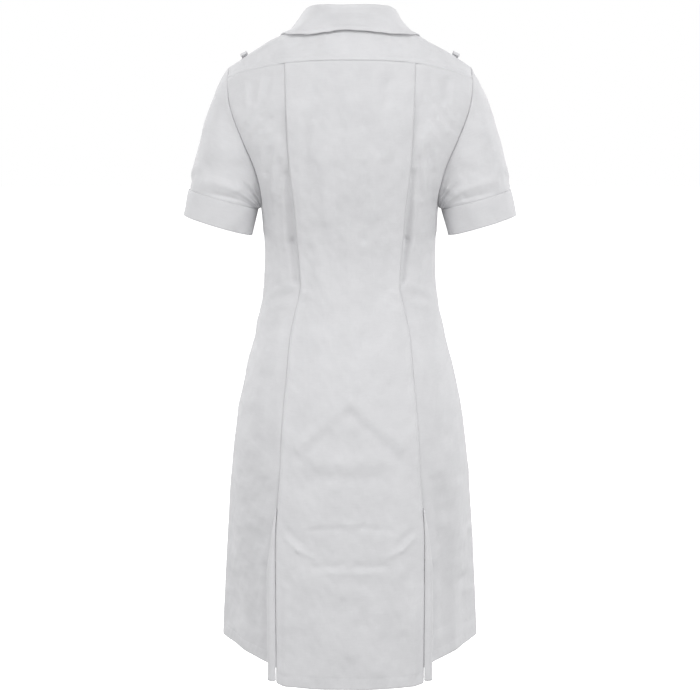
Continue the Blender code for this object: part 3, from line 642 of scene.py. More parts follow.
def finer(rows, down, across, ring=False):
    """The same surface with more points, curved smoothly through the old ones."""
    grid = np.array([[tuple(p) for p in row] for row in rows])
    for axis, times in ((0, down), (1, across)):
        grid = np.swapaxes(grid, 0, axis)
        closed = ring and axis == 1
        if closed:
            padded = np.concatenate([grid[-1:], grid, grid[:2]])
        else:
            padded = np.concatenate([2 * grid[:1] - grid[1:2], grid, 2 * grid[-1:] - grid[-2:-1]])
        steps = np.diff(padded, axis=0)
        lengths = np.maximum(np.linalg.norm(steps, axis=-1, keepdims=True), 1e-6)
        slopes = (steps[:-1] / lengths[:-1] * lengths[1:] + steps[1:] / lengths[1:] * lengths[:-1])
        slopes /= lengths[:-1] + lengths[1:]
        start, end = padded[1:-2], padded[2:-1]
        leave, arrive = slopes[:-1] * lengths[1:-1], slopes[1:] * lengths[1:-1]
        parts = []
        for t in np.arange(times) / times:
            parts.append((2 * t ** 3 - 3 * t ** 2 + 1) * start + (3 * t ** 2 - 2 * t ** 3) * end
                         + (t ** 3 - 2 * t ** 2 + t) * leave + (t ** 3 - t ** 2) * arrive)
        new = np.stack(parts, axis=1).reshape((-1,) + grid.shape[1:])
        if not closed:
            new = np.concatenate([new, grid[-1:]])
        grid = np.swapaxes(new, 0, axis)
    return grid


def outward(grid, ring=False):
    """Unit normals of a grid, out of the cloth's right side."""
    if ring:
        across = np.roll(grid, -1, axis=1) - np.roll(grid, 1, axis=1)
    else:
        across = np.gradient(grid, axis=1)
    normals = np.cross(across, np.gradient(grid, axis=0))
    length = np.linalg.norm(normals, axis=2, keepdims=True)
    return normals / np.maximum(length, 1e-12)


def border_distances(grid):
    """Length along the cloth from the first row, last row, first column and last column."""
    down = np.linalg.norm(np.diff(grid, axis=0), axis=2).cumsum(axis=0)
    down = np.concatenate([np.zeros((1, grid.shape[1])), down])
    over = np.linalg.norm(np.diff(grid, axis=1), axis=2).cumsum(axis=1)
    over = np.concatenate([np.zeros((grid.shape[0], 1)), over], axis=1)
    return down, down[-1:] - down, over, over[:, -1:] - over


def creases(table, across, height):
    """Sum of a table's soft ridges at each point."""
    total = np.zeros_like(across)
    for x0, z0, x1, z1, width, rise in table:
        run = np.array((x1 - x0, z1 - z0))
        t = np.clip(((across - x0) * run[0] + (height - z0) * run[1]) / (run @ run), 0.0, 1.0)
        apart = (across - x0 - t * run[0]) ** 2 + (height - z0 - t * run[1]) ** 2
        total += rise * np.exp(-apart / width ** 2)
    return total * MM


def uneven(across, height, size, seed):
    """An even, slow wobble of about unit height; size is its usual wavelength."""
    random = np.random.default_rng(seed)
    total = np.zeros_like(across)
    for _ in range(9):
        heading = random.uniform(0, math.pi)
        step = 2 * math.pi / (size * random.uniform(0.6, 1.7))
        place = across * math.cos(heading) + height * math.sin(heading)
        total += np.sin(place * step + random.uniform(0, 7))
    return total / 3


def worn(across, height, seed):
    """The small unevenness of cloth that has been washed and pressed."""
    broad = 0.00055 * uneven(across, height, 0.085, seed)
    small = 0.00018 * uneven(across, height, 0.026, seed + 1)
    return broad + small + 0.00005 * uneven(across, height, 0.009, seed + 2)


def stitched(distance, at, pull=0.00035, width=0.0016):
    """Cloth pulled in along a line of stitches."""
    return -pull * np.exp(-((distance - at) / width) ** 2)


def rolled(distance, depth, width=0.0018):
    """Cloth turning down towards an edge."""
    return -depth * (1 - smooth_step(distance, 0.0, width)) ** 1.5


def roped(distance, along_edge, depth):
    """The small diagonal waves between a hem's edge and its stitches."""
    inside = smooth_step(distance, 0.0, 0.004) * (1 - smooth_step(distance, depth * 0.8, depth))
    return 0.00026 * inside * np.sin(2 * math.pi * (along_edge + 0.5 * distance) / 0.0105)


def turned_up(grid, normals, depth):
    """The grid with its first rows turned up inside, like a hem."""
    reach = border_distances(grid)[0][:, grid.shape[1] // 2]
    last = int(np.searchsorted(reach, depth + 0.004))
    inside = grid[:last + 1] - normals[:last + 1] * 0.0021
    bottom = grid[:1] - normals[:1] * 0.00105 + (grid[:1] - grid[1:2]) * 0.16
    lip = grid[:1] - normals[:1] * 0.0003 + (grid[:1] - grid[1:2]) * 0.09
    back_lip = grid[:1] - normals[:1] * 0.0018 + (grid[:1] - grid[1:2]) * 0.09
    return np.concatenate([inside[::-1], back_lip, bottom, lip, grid])


def linked(name, data):
    """A new object in the scene that holds a mesh, curve, light or camera."""
    made = bpy.data.objects.new(name, data)
    bpy.context.scene.collection.objects.link(made)
    return made


def grid_object(name, grid, ring=False, uv=True):
    """An object with four-sided faces through a grid, and its thread lines as a UV map in metres."""
    rows, columns = grid.shape[:2]
    index = np.arange(rows * columns).reshape(rows, columns)
    if ring:
        index = np.concatenate([index, index[:, :1]], axis=1)
    faces = np.stack([index[:-1, :-1], index[:-1, 1:], index[1:, 1:], index[1:, :-1]], axis=-1)
    faces = faces.reshape(-1, 4)
    mesh = bpy.data.meshes.new(name)
    mesh.from_pydata(grid.reshape(-1, 3).tolist(), [], faces.tolist())
    if uv:
        looped = np.concatenate([grid, grid[:, :1]], axis=1) if ring else grid
        down, _, over, _ = border_distances(looped)
        over = over - over[:, over.shape[1] // 2][:, None]
        place = np.stack([over, down], axis=-1)
        corners = np.stack([place[:-1, :-1], place[:-1, 1:], place[1:, 1:], place[1:, :-1]], axis=2)
        layer = mesh.uv_layers.new(name="Grain")
        layer.data.foreach_set("uv", corners.reshape(-1))
    mesh.shade_smooth()
    mesh.validate()
    return linked(name, mesh)


def mirror_grid(grid):
    """The same grid on the wearer's other side, with its faces still outwards."""
    return grid[:, ::-1] * np.array((-1.0, 1.0, 1.0))


def raised(grid, lift, mirrored=False):
    """The grid lifted out of its own face, and its new normals, on the asked side."""
    grid = grid + outward(grid) * lift[..., None]
    normals = outward(grid)
    if mirrored:
        return mirror_grid(grid), mirror_grid(normals)
    return grid, normals


def make_cloth(name, node, grid, material, ring=False, thickness=None):
    """A piece of cloth in place of its CAD node."""
    made = grid_object(name, grid, ring)
    wall = made.modifiers.new("Cloth thickness", "SOLIDIFY")
    wall.thickness = thickness or bpy.context.scene.dress_sizes.cloth
    wall.offset = -1.0
    made.data.materials.append(material)
    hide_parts(node)
    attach(made, "root")
    return made


def line_at(grid, normals, distance, first_to_last=True, rows=True, trim=0):
    """Points and normals at a distance from a border of the grid."""
    if not rows:
        grid = np.swapaxes(grid, 0, 1)
        normals = np.swapaxes(normals, 0, 1)
    if not first_to_last:
        grid = grid[::-1]
        normals = normals[::-1]
    reach = border_distances(grid)[0]
    points = []
    faces = []
    for column in range(trim, grid.shape[1] - trim):
        place = np.interp(distance, reach[:, column], np.arange(len(reach)))
        low = min(int(place), len(reach) - 2)
        part = place - low
        points.append(grid[low, column] * (1 - part) + grid[low + 1, column] * part)
        faces.append(normals[low, column] * (1 - part) + normals[low + 1, column] * part)
    return np.array(points), np.array(faces)


def make_stitches(name, lines, closed=False):
    """Rows of small lock stitches lying on the cloth, as one piece."""
    pitch = bpy.context.scene.dress_sizes.stitch
    vertices = []
    faces = []
    for points, normals in lines:
        if closed:
            points = np.concatenate([points, points[:1]])
            normals = np.concatenate([normals, normals[:1]])
        reach = np.concatenate([[0.0], np.linalg.norm(np.diff(points, axis=0), axis=1).cumsum()])
        centres = np.arange(pitch, reach[-1] - pitch * 0.5, pitch)
        place = [np.stack([np.interp(centres + shift, reach, points[:, k]) for k in range(3)], axis=-1)
                 for shift in (-pitch * 0.37, 0.0, pitch * 0.37)]
        out = np.stack([np.interp(centres, reach, normals[:, k]) for k in range(3)], axis=-1)
        out /= np.linalg.norm(out, axis=1, keepdims=True)
        run = place[2] - place[0]
        side = np.cross(out, run)
        side /= np.linalg.norm(side, axis=1, keepdims=True)
        rings = []
        # Real thread is about 0.3 mm thick. It is drawn 0.5 mm wide, so that it shows.
        for at, half, rise in zip(place, (0.00008, 0.00024, 0.00008), (-0.0001, 0.00032, -0.0001)):
            rings.append([at + side * half - out * 0.0002, at + side * half * 0.6 + out * rise,
                          at - side * half * 0.6 + out * rise, at - side * half - out * 0.0002])
        for number in range(len(centres)):
            first = len(vertices)
            for ring in rings:
                vertices.extend(tuple(corner[number]) for corner in ring)
            for k in (0, 4):
                for i in range(4):
                    this = first + k + i
                    after = first + k + (i + 1) % 4
                    faces.append((this, after, after + 4, this + 4))
            faces.append((first + 3, first + 2, first + 1, first))
            faces.append((first + 8, first + 9, first + 10, first + 11))
    mesh = bpy.data.meshes.new(name)
    mesh.from_pydata(vertices, [], faces)
    mesh.shade_smooth()
    mesh.materials.append(thread_material())
    made = linked(name, mesh)
    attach(made, "root")
    return made


# --- Materials ----------------------------------------------------------------


def node(tree, kind, settings=(), links=()):
    """Adds one node with its settings, and links sockets into it by name or number."""
    made = tree.nodes.new(kind)
    for key, value in dict(settings).items():
        if isinstance(key, int) or key in made.inputs:
            made.inputs[key].default_value = value
        else:
            setattr(made, key, value)
    for socket, source in dict(links).items():
        tree.links.new(source, made.inputs[socket])
    return made


def blank_material(name):
    """A material with only its shader, and that shader."""
    found = bpy.data.materials.new(name)
    found.use_nodes = True
    return found, found.node_tree, found.node_tree.nodes["Principled BSDF"]


def set_sockets(shader, values):
    """Gives a shader's own sockets the values that are the same all over."""
    for socket, value in values.items():
        shader.inputs[socket].default_value = value


def cloth_material():
    """Woven polyester and cotton workwear cloth, washed and pressed.

    A dull, dense plain weave. The polyester gives a faint sheen at a slant, and
    uneven yarn gives slow, pale changes of tone.
    """
    if "polyester_cotton_poplin" in bpy.data.materials:
        return bpy.data.materials["polyester_cotton_poplin"]
    colours = bpy.context.scene.dress_colours
    made, tree, shader = blank_material("polyester_cotton_poplin")
    grain = node(tree, "ShaderNodeUVMap", {"uv_map": "Grain"}).outputs["UV"]
    # Real threads lie 0.25 mm apart. They are drawn 1 mm apart, so that they show at all.
    thread_pitch = 1.0 * MM
    scale = math.pi / 10 / thread_pitch
    threads = {"Scale": scale, "Distortion": 0.6, "Detail": 1.0, "Detail Scale": 0.4}
    warp = node(tree, "ShaderNodeTexWave", {"bands_direction": "X", **threads}, {"Vector": grain})
    weft = node(tree, "ShaderNodeTexWave", {"bands_direction": "Y", **threads}, {"Vector": grain})
    weave = node(tree, "ShaderNodeMath", {"operation": "MULTIPLY"},
                 {0: warp.outputs["Fac"], 1: weft.outputs["Fac"]})
    # Thick and thin places in the yarn, 4 mm long across the weft.
    stretched = node(tree, "ShaderNodeMapping", {"Scale": (60.0, 420.0, 1.0)}, {"Vector": grain})
    slub = node(tree, "ShaderNodeTexNoise", {"Scale": 1.0, "Detail": 3.0},
                {"Vector": stretched.outputs["Vector"]})
    patches = node(tree, "ShaderNodeTexNoise", {"Scale": 22.0, "Detail": 4.0, "Roughness": 0.6},
                   {"Vector": grain})
    tone = node(tree, "ShaderNodeMath", {"operation": "MULTIPLY_ADD", 1: 0.35},
                {0: slub.outputs["Fac"], 2: patches.outputs["Fac"]})
    ramp = node(tree, "ShaderNodeMapRange", {"From Min": 0.42, "From Max": 0.92},
                {"Value": tone.outputs[0]})
    blend = node(tree, "ShaderNodeMix",
                 {"data_type": "RGBA", 6: colours.cloth, 7: colours.cloth_shade},
                 {0: ramp.outputs["Result"]})
    tree.links.new(blend.outputs[2], shader.inputs["Base Color"])
    # Pressed puckers a few millimetres wide, too fine for the mesh.
    crinkle = node(tree, "ShaderNodeTexNoise", {"Scale": 140.0, "Detail": 3.0, "Roughness": 0.55},
                   {"Vector": grain})
    soft = node(tree, "ShaderNodeBump", {"Strength": 0.35, "Distance": 0.0006},
                {"Height": crinkle.outputs["Fac"]})
    bump = node(tree, "ShaderNodeBump", {"Strength": 0.5, "Distance": 0.00012},
                {"Height": weave.outputs[0], "Normal": soft.outputs["Normal"]})
    tree.links.new(bump.outputs["Normal"], shader.inputs["Normal"])
    rough = node(tree, "ShaderNodeMapRange", {"To Min": 0.80, "To Max": 0.92},
                 {"Value": weave.outputs[0]})
    tree.links.new(rough.outputs["Result"], shader.inputs["Roughness"])
    set_sockets(shader, {
        "IOR": 1.46, "Specular IOR Level": 0.25, "Sheen Weight": 0.10, "Sheen Roughness": 0.45,
    })
    made.diffuse_color = colours.cloth
    return made


def thread_material():
    """Spun polyester sewing thread: white, a little smoother than the cloth, twisted."""
    if "spun_polyester_thread" in bpy.data.materials:
        return bpy.data.materials["spun_polyester_thread"]
    colours = bpy.context.scene.dress_colours
    made, tree, shader = blank_material("spun_polyester_thread")
    place = node(tree, "ShaderNodeTexCoord").outputs["Object"]
    # The twist of the thread, 0.4 mm long.
    twist = node(tree, "ShaderNodeTexNoise", {"Scale": 2500.0, "Detail": 1.0}, {"Vector": place})
    tone = node(tree, "ShaderNodeMapRange", {"To Min": 0.88, "To Max": 1.0},
                {"Value": twist.outputs["Fac"]})
    shade = node(tree, "ShaderNodeVectorMath", {"operation": "SCALE", 0: colours.thread[:3]},
                 {"Scale": tone.outputs["Result"]})
    tree.links.new(shade.outputs["Vector"], shader.inputs["Base Color"])
    bump = node(tree, "ShaderNodeBump", {"Strength": 0.4, "Distance": 0.00005},
                {"Height": twist.outputs["Fac"]})
    tree.links.new(bump.outputs["Normal"], shader.inputs["Normal"])
    set_sockets(shader, {"Roughness": 0.6, "IOR": 1.5, "Sheen Weight": 0.15})
    made.diffuse_color = colours.thread
    return made


def button_material():
    """Cast polyester resin buttons, polished: a milky white with faint cloudy bands."""
    if "cast_polyester_button" in bpy.data.materials:
        return bpy.data.materials["cast_polyester_button"]
    colours = bpy.context.scene.dress_colours
    made, tree, shader = blank_material("cast_polyester_button")
    place = node(tree, "ShaderNodeTexCoord").outputs["Object"]
    # Clouds about 4 mm across, from the resin's filler.
    cloud = node(tree, "ShaderNodeTexNoise", {"Scale": 250.0, "Detail": 3.0}, {"Vector": place})
    tone = node(tree, "ShaderNodeMapRange", {"To Min": 0.92, "To Max": 1.0},
                {"Value": cloud.outputs["Fac"]})
    shade = node(tree, "ShaderNodeVectorMath", {"operation": "SCALE", 0: colours.button[:3]},
                 {"Scale": tone.outputs["Result"]})
    tree.links.new(shade.outputs["Vector"], shader.inputs["Base Color"])
    rough = node(tree, "ShaderNodeMapRange", {"To Min": 0.24, "To Max": 0.36},
                 {"Value": cloud.outputs["Fac"]})
    tree.links.new(rough.outputs["Result"], shader.inputs["Roughness"])
    set_sockets(shader, {"IOR": 1.56})
    made.diffuse_color = colours.button
    return made


# --- Operators, one for each kind of piece -------------------------------------


class DRESS_OT_centre_back(bpy.types.Operator):
    """Makes the long centre back panel, from yoke to hem"""

    bl_idname = "dress.centre_back"
    bl_label = "Centre back"

    def execute(self, context):
        sizes = context.scene.dress_sizes
        grid = finer(centre_back_lines(), 6, 5)
        down, up, left, right = border_distances(grid)
        edge = np.minimum(left, right)
        x, z = grid[..., 0], grid[..., 2]
        lift = sizes.crease * (creases(BACK_CREASES, x / MM, z / MM) + worn(x, z, 11))
        lift *= smooth_step(edge, -0.004, 0.012) * smooth_step(up, -0.004, 0.010)
        lift += roped(down, x, sizes.hem) + stitched(down, sizes.hem)
        lift += stitched(up, 0.001, 0.0005, 0.002)
        free = smooth_step(z, WAIST - 0.01, WAIST + 0.05)
        lift += 0.0008 * free * np.exp(-(edge / 0.014) ** 2)
        sewn = 1 - smooth_step(z, WAIST - 0.01, WAIST + 0.02)
        sewn *= smooth_step(z, PLEAT_TOP, PLEAT_TOP + 0.03)
        ridge = 0.0009 * np.exp(-((edge - 0.005) / 0.0045) ** 2)
        lift += sewn * (ridge + stitched(edge, 0.0022, 0.0004, 0.0010))
        lift += rolled(edge, 0.0010)
        grid, normals = raised(grid, lift)
        piece = make_cloth("back_centre_cloth", "back_centre",
                           turned_up(grid, normals, sizes.hem), cloth_material())
        hem = line_at(grid, normals, sizes.hem)
        sides = []
        for first in (True, False):
            points, faces = line_at(grid, normals, 0.0022, first, rows=False)
            keep = (points[:, 2] < WAIST) & (points[:, 2] > PLEAT_TOP)
            sides.append((points[keep], faces[keep]))
        stitching = make_stitches("back_centre_stitching", [hem] + sides)
        return {"FINISHED"}


class DRESS_OT_side_backs(bpy.types.Operator):
    """Makes both side back panels, tucked under the centre back"""

    bl_idname = "dress.side_backs"
    bl_label = "Side backs"

    def execute(self, context):
        sizes = context.scene.dress_sizes
        for side, seed in (("left", 21), ("right", 31)):
            grid = finer(side_back_lines(), 5, 5)
            down, up, seam, tucked = border_distances(grid)
            x, z = grid[..., 0], grid[..., 2]
            shift = 0.0 if side == "left" else 1.5
            lift = creases(SIDE_CREASES, x / MM + shift, z / MM - shift)
            lift = sizes.crease * (lift + worn(tucked, z, seed))
            lift *= smooth_step(seam, -0.004, 0.012) * smooth_step(up, -0.004, 0.010)
            lift *= smooth_step(tucked, 0.0, 0.022)
            above_waist = smooth_step(z, WAIST - 0.01, WAIST + 0.03)
            closed = 1 - above_waist * (1 - smooth_step(z, -0.26, -0.20))
            lift += 0.0009 * closed * smooth_step(z, -0.72, -0.66) * smooth_step(seam, 0.0, 0.03)
            lift += 0.0010 * (1 - smooth_step(up, 0.0, 0.02)) * smooth_step(tucked, 0.016, 0.03)
            lift += roped(down, tucked, sizes.hem) + stitched(down, sizes.hem)
            lift += stitched(up, 0.001, 0.0005, 0.002)
            lift += rolled(seam, 0.0003)
            grid, normals = raised(grid, lift, side == "right")
            piece = make_cloth(f"back_side_{side}_cloth", f"back_side_{side}",
                               turned_up(grid, normals, sizes.hem), cloth_material())
            stitching = make_stitches(f"back_side_{side}_stitching",
                                      [line_at(grid, normals, sizes.hem)])
        return {"FINISHED"}


class DRESS_OT_pleats(bpy.types.Operator):
    """Makes both kick pleats in the skirt"""

    bl_idname = "dress.pleats"
    bl_label = "Kick pleats"

    def execute(self, context):
        for side, seed in (("left", 41), ("right", 43)):
            grid = finer(pleat_lines(), 6, 3)
            lift = 0.0003 * uneven(grid[..., 0], grid[..., 2], 0.05, seed)
            grid, _ = raised(grid, lift, side == "right")
            piece = make_cloth(f"pleat_{side}_cloth", f"pleat_{side}", grid, cloth_material())
        return {"FINISHED"}


class DRESS_OT_fronts(bpy.types.Operator):
    """Makes both fronts; the right one laps over the left"""

    bl_idname = "dress.fronts"
    bl_label = "Fronts"

    def execute(self, context):
        sizes = context.scene.dress_sizes
        for side, seed in (("left", 51), ("right", 61)):
            grid = finer(front_lines(over=side == "right"), 5, 6)
            down, up, lap, seam = border_distances(grid)
            x, z = grid[..., 0], grid[..., 2]
            shift = 0.0 if side == "left" else 2.0
            lift = creases(FRONT_CREASES, x / MM + shift, z / MM - shift)
            lift = sizes.crease * (lift + worn(lap, z, seed))
            lift *= smooth_step(seam, -0.004, 0.012) * smooth_step(up, 0.0, 0.030)
            lift *= smooth_step(lap, 0.020, 0.050)
            lift += roped(down, lap, sizes.hem) + stitched(down, sizes.hem) + stitched(lap, 0.027)
            lift += rolled(seam, 0.0003) + rolled(lap, 0.0005, 0.002) + stitched(lap, 0.004)
            grid, normals = raised(grid, lift, side == "right")
            piece = make_cloth(f"front_{side}_cloth", f"front_{side}",
                               turned_up(grid, normals, sizes.hem), cloth_material())
            lap_first = side == "left"
            lines = [line_at(grid, normals, sizes.hem)]
            for away in (0.004, 0.027):
                points, faces = line_at(grid, normals, away, lap_first, rows=False)
                keep = points[:, 2] < NECK_FRONT.z - 0.010
                lines.append((points[keep], faces[keep]))
            stitching = make_stitches(f"front_{side}_stitching", lines)
        return {"FINISHED"}


def yoke_grid():
    """The whole yoke's fine grid, from the right armhole to the left."""
    half = finer(yoke_lines(), 4, 4)
    return np.concatenate([mirror_grid(half)[:, :-1], half], axis=1)


class DRESS_OT_yoke(bpy.types.Operator):
    """Makes the yoke across the back and over both shoulders"""

    bl_idname = "dress.yoke"
    bl_label = "Yoke"

    def execute(self, context):
        sizes = context.scene.dress_sizes
        grid = yoke_grid()[:, ::-1]
        grid[:, grid.shape[1] // 2, 0] = 0.0
        down, up, left, right = border_distances(grid)
        edge = np.minimum(left, right)
        x, y, z = grid[..., 0], grid[..., 1], grid[..., 2]
        lift = creases(YOKE_CREASES, x / MM, z / MM) * smooth_step(y, 0.005, 0.03)
        lift = sizes.crease * (lift + 0.8 * worn(x, y - z, 71))
        lift *= smooth_step(edge, -0.002, 0.012) * smooth_step(down, 0.004, 0.016)
        lift *= smooth_step(up, -0.002, 0.020)
        lift += 0.0007 * np.exp(-((down - 0.0045) / 0.005) ** 2)
        lift += stitched(down, 0.0085, 0.0005, 0.0016) + stitched(down, 0.0016, 0.0003, 0.0010)
        lift += rolled(down, 0.0004, 0.0016)
        lift += rolled(edge, 0.0005)
        grid, normals = raised(grid, lift)
        piece = make_cloth("yoke_cloth", "yoke", grid, cloth_material())
        lines = [line_at(grid, normals, away) for away in (0.0016, 0.0085)]
        stitching = make_stitches("yoke_stitching", lines)
        return {"FINISHED"}


class DRESS_OT_sleeves(bpy.types.Operator):
    """Makes both sleeves and their turned-up cuffs"""

    bl_idname = "dress.sleeves"
    bl_label = "Sleeves and cuffs"

    def execute(self, context):
        sizes = context.scene.dress_sizes
        for side, seed in (("left", 81), ("right", 91)):
            sleeve, cuff = sleeve_lines(40, 12)
            grid = finer(sleeve, 5, 4, ring=True)
            normals = outward(grid, ring=True)
            rows, columns = grid.shape[:2]
            down, up = border_distances(grid)[:2]
            angle = np.linspace(0, 360, columns, endpoint=False)[None, :].repeat(rows, axis=0)
            share = np.linspace(100, 0, rows)[:, None].repeat(columns, axis=1)
            lift = np.zeros((rows, columns))
            for a0, s0, a1, s1, width, rise in SLEEVE_CREASES:
                for wrap in (-360, 0, 360):
                    run = np.array(((a1 - a0) * 0.7, s1 - s0))
                    away = (angle + wrap - a0) * 0.7
                    t = np.clip((away * run[0] + (share - s0) * run[1]) / (run @ run), 0.0, 1.0)
                    apart = (away - t * run[0]) ** 2 + (share - s0 - t * run[1]) ** 2
                    lift += rise * MM * np.exp(-apart / width ** 2)
            around = angle / 360
            round_wave = np.sin(2 * math.pi * around)
            lift += worn(0.06 * np.cos(2 * math.pi * around), grid[..., 2] + 0.06 * round_wave, seed)
            lift *= sizes.crease * smooth_step(up, -0.002, 0.012) * smooth_step(down, 0.002, 0.012)
            lift += 0.0006 * np.exp(-((up - 0.004) / 0.004) ** 2) + rolled(up, 0.0003)
            lift -= 0.0006 * np.exp(-((down - 0.003) / 0.004) ** 2)
            grid = grid + normals * lift[..., None]
            band = finer(cuff, 3, 4, ring=True)
            faces = outward(band, ring=True)
            low, high = border_distances(band)[:2]
            size = sizes.crease * 0.0004
            wave = size * uneven(0.06 * np.cos(2 * math.pi * around[:len(band)]),
                                 band[..., 2] + 0.06 * round_wave[:len(band)], 0.05, seed + 5)
            wave += stitched(high, 0.0018) + stitched(low, 0.0035, 0.0003)
            wave += rolled(high, 0.0004, 0.0014)
            band = band + faces * (0.0002 + wave)[..., None]
            if side == "right":
                grid = mirror_grid(grid)
                band = mirror_grid(band)
            faces = outward(band, ring=True)
            piece = make_cloth(f"sleeve_{side}_cloth", f"sleeve_{side}", grid, cloth_material(),
                               ring=True)
            hem = make_cloth(f"cuff_{side}_cloth", f"cuff_{side}", turned_up(band, faces, CUFF_TURN_UP),
                             cloth_material(), ring=True)
            lines = [line_at(band, faces, 0.0018, False), line_at(band, faces, 0.0035)]
            stitching = make_stitches(f"cuff_{side}_stitching", lines, closed=True)
        return {"FINISHED"}


class DRESS_OT_strap_loops(bpy.types.Operator):
    """Makes the narrow strap loop on each shoulder"""

    bl_idname = "dress.strap_loops"
    bl_label = "Shoulder strap loops"

    def execute(self, context):
        half = finer(yoke_lines(), 4, 4)
        column = LOOP_ACROSS * (half.shape[1] - 1)
        spine = half[:, int(round(column))]
        spine = spine[np.argsort(spine[:, 1])]
        slope = Vector(armhole(0) - NECK_SIDE).normalized()
        rows = []
        for y in spread(-LOOP_HALF_LENGTH, LOOP_HALF_LENGTH, 36):
            share = min(abs(y) / LOOP_HALF_LENGTH, 1.0)
            centre = [np.interp(y, spine[:, 1], spine[:, k]) for k in range(3)]
            rise = LOOP_FOOT + LOOP_RISE * max(1 - share ** 2, 0.0) ** 0.7
            row = []
            for part in (-0.5, -0.47, -0.3, -0.1, 0.1, 0.3, 0.47, 0.5):
                drop = 0.0006 if abs(part) == 0.5 else 0.0
                point = Vector((centre[0], y, centre[2] + rise - drop)) + slope * part * LOOP_WIDTH
                row.append(tuple(point))
            rows.append(row)
        grid = finer(rows, 2, 2)
        for side in ("left", "right"):
            placed = grid if side == "left" else mirror_grid(grid)
            normals = outward(placed)
            piece = make_cloth(f"strap_loop_{side}_cloth", f"strap_loop_{side}", placed,
                               cloth_material(), thickness=LOOP_THICK)
            lines = [line_at(placed, normals, 0.0014, first, rows=False) for first in (True, False)]
            stitching = make_stitches(f"strap_loop_{side}_stitching", lines)
        return {"FINISHED"}


def surface_tree(name):
    """A search tree over the unthickened mesh of one made piece."""
    mesh = bpy.data.objects[name].data
    points = np.empty(len(mesh.vertices) * 3, dtype=np.float32)
    mesh.vertices.foreach_get("co", points)
    faces = [tuple(face.vertices) for face in mesh.polygons]
    return BVHTree.FromPolygons(points.reshape(-1, 3).tolist(), faces)


class DRESS_OT_collar(bpy.types.Operator):
    """Makes the one-piece shirt collar, lying over the yoke and fronts"""

    bl_idname = "dress.collar"
    bl_label = "Collar"

    def execute(self, context):
        sizes = context.scene.dress_sizes
        half = [collar_section(*collar_lines(at)) for at in spread(0.0, len(COLLAR) - 1.0, 40)]
        columns = [[Vector((-p.x, p.y, p.z)) for p in section] for section in half[:0:-1]] + half
        grid = finer([list(row) for row in zip(*columns)], 5, 4)
        down, up, left, right = border_distances(grid)
        end = np.minimum(left, right)
        run = left - left[:, left.shape[1] // 2][:, None]
        lift = sizes.crease * 0.0005 * uneven(run, down, 0.07, 101)
        lift += sizes.crease * 0.00012 * uneven(run, down, 0.02, 103)
        lift *= smooth_step(up, 0.0, 0.012) * smooth_step(end, 0.0, 0.012)
        rim = np.minimum(up, end)
        lift += stitched(rim, 0.006, 0.0005, 0.0016) + 0.0005 * np.exp(-((rim - 0.0028) / 0.0026) ** 2)
        lift += rolled(rim, 0.0005, 0.0014)
        grid, _ = raised(grid, lift)
        trees = [surface_tree(name) for name in ("yoke_cloth", "front_left_cloth", "front_right_cloth")]
        moved = np.zeros_like(grid)
        leaf = COLLAR_LEAF_ROW
        for j in range(grid.shape[0]):
            fallen = max(j - leaf, 0) / (grid.shape[0] - 1 - leaf)
            for i in range(grid.shape[1]):
                if j < leaf and grid[0, i, 2] > COLLAR_LIES_FLAT:
                    continue
                point = Vector(grid[j, i])
                hits = [tree.find_nearest(point, COLLAR_REACH) for tree in trees]
                hits = [hit for hit in hits if hit[0] is not None]
                if not hits:
                    continue
                found, normal, _, near = min(hits, key=lambda hit: hit[3])
                rise = (point - found).dot(normal)
                highest = 0.020 + (COLLAR_HOVER - 0.020) * fallen ** 0.7
                if rise < COLLAR_CLEAR and near < 0.012:
                    moved[j, i] = normal * (COLLAR_CLEAR - rise)
                elif rise > highest and fallen > 0:
                    moved[j, i] = normal * (highest - rise) * min(1.0, fallen * 3)
        for _ in range(COLLAR_SMOOTHINGS):
            padded = np.pad(moved, ((1, 1), (1, 1), (0, 0)), mode="edge")
            above_below = padded[:-2, 1:-1] + padded[2:, 1:-1]
            moved = (above_below + padded[1:-1, :-2] + padded[1:-1, 2:] + 2 * moved) / 6
        grid = grid + moved
        normals = outward(grid)
        piece = make_cloth("collar_cloth", "collar", grid, cloth_material(), thickness=COLLAR_THICK)
        outer = line_at(grid, normals, 0.006, False, trim=8)
        ends = []
        for first in (True, False):
            points, faces = line_at(grid, normals, 0.006, first, rows=False, trim=3)
            ends.append((points[20:], faces[20:]))
        stitching = make_stitches("collar_stitching", [outer] + ends)
        return {"FINISHED"}


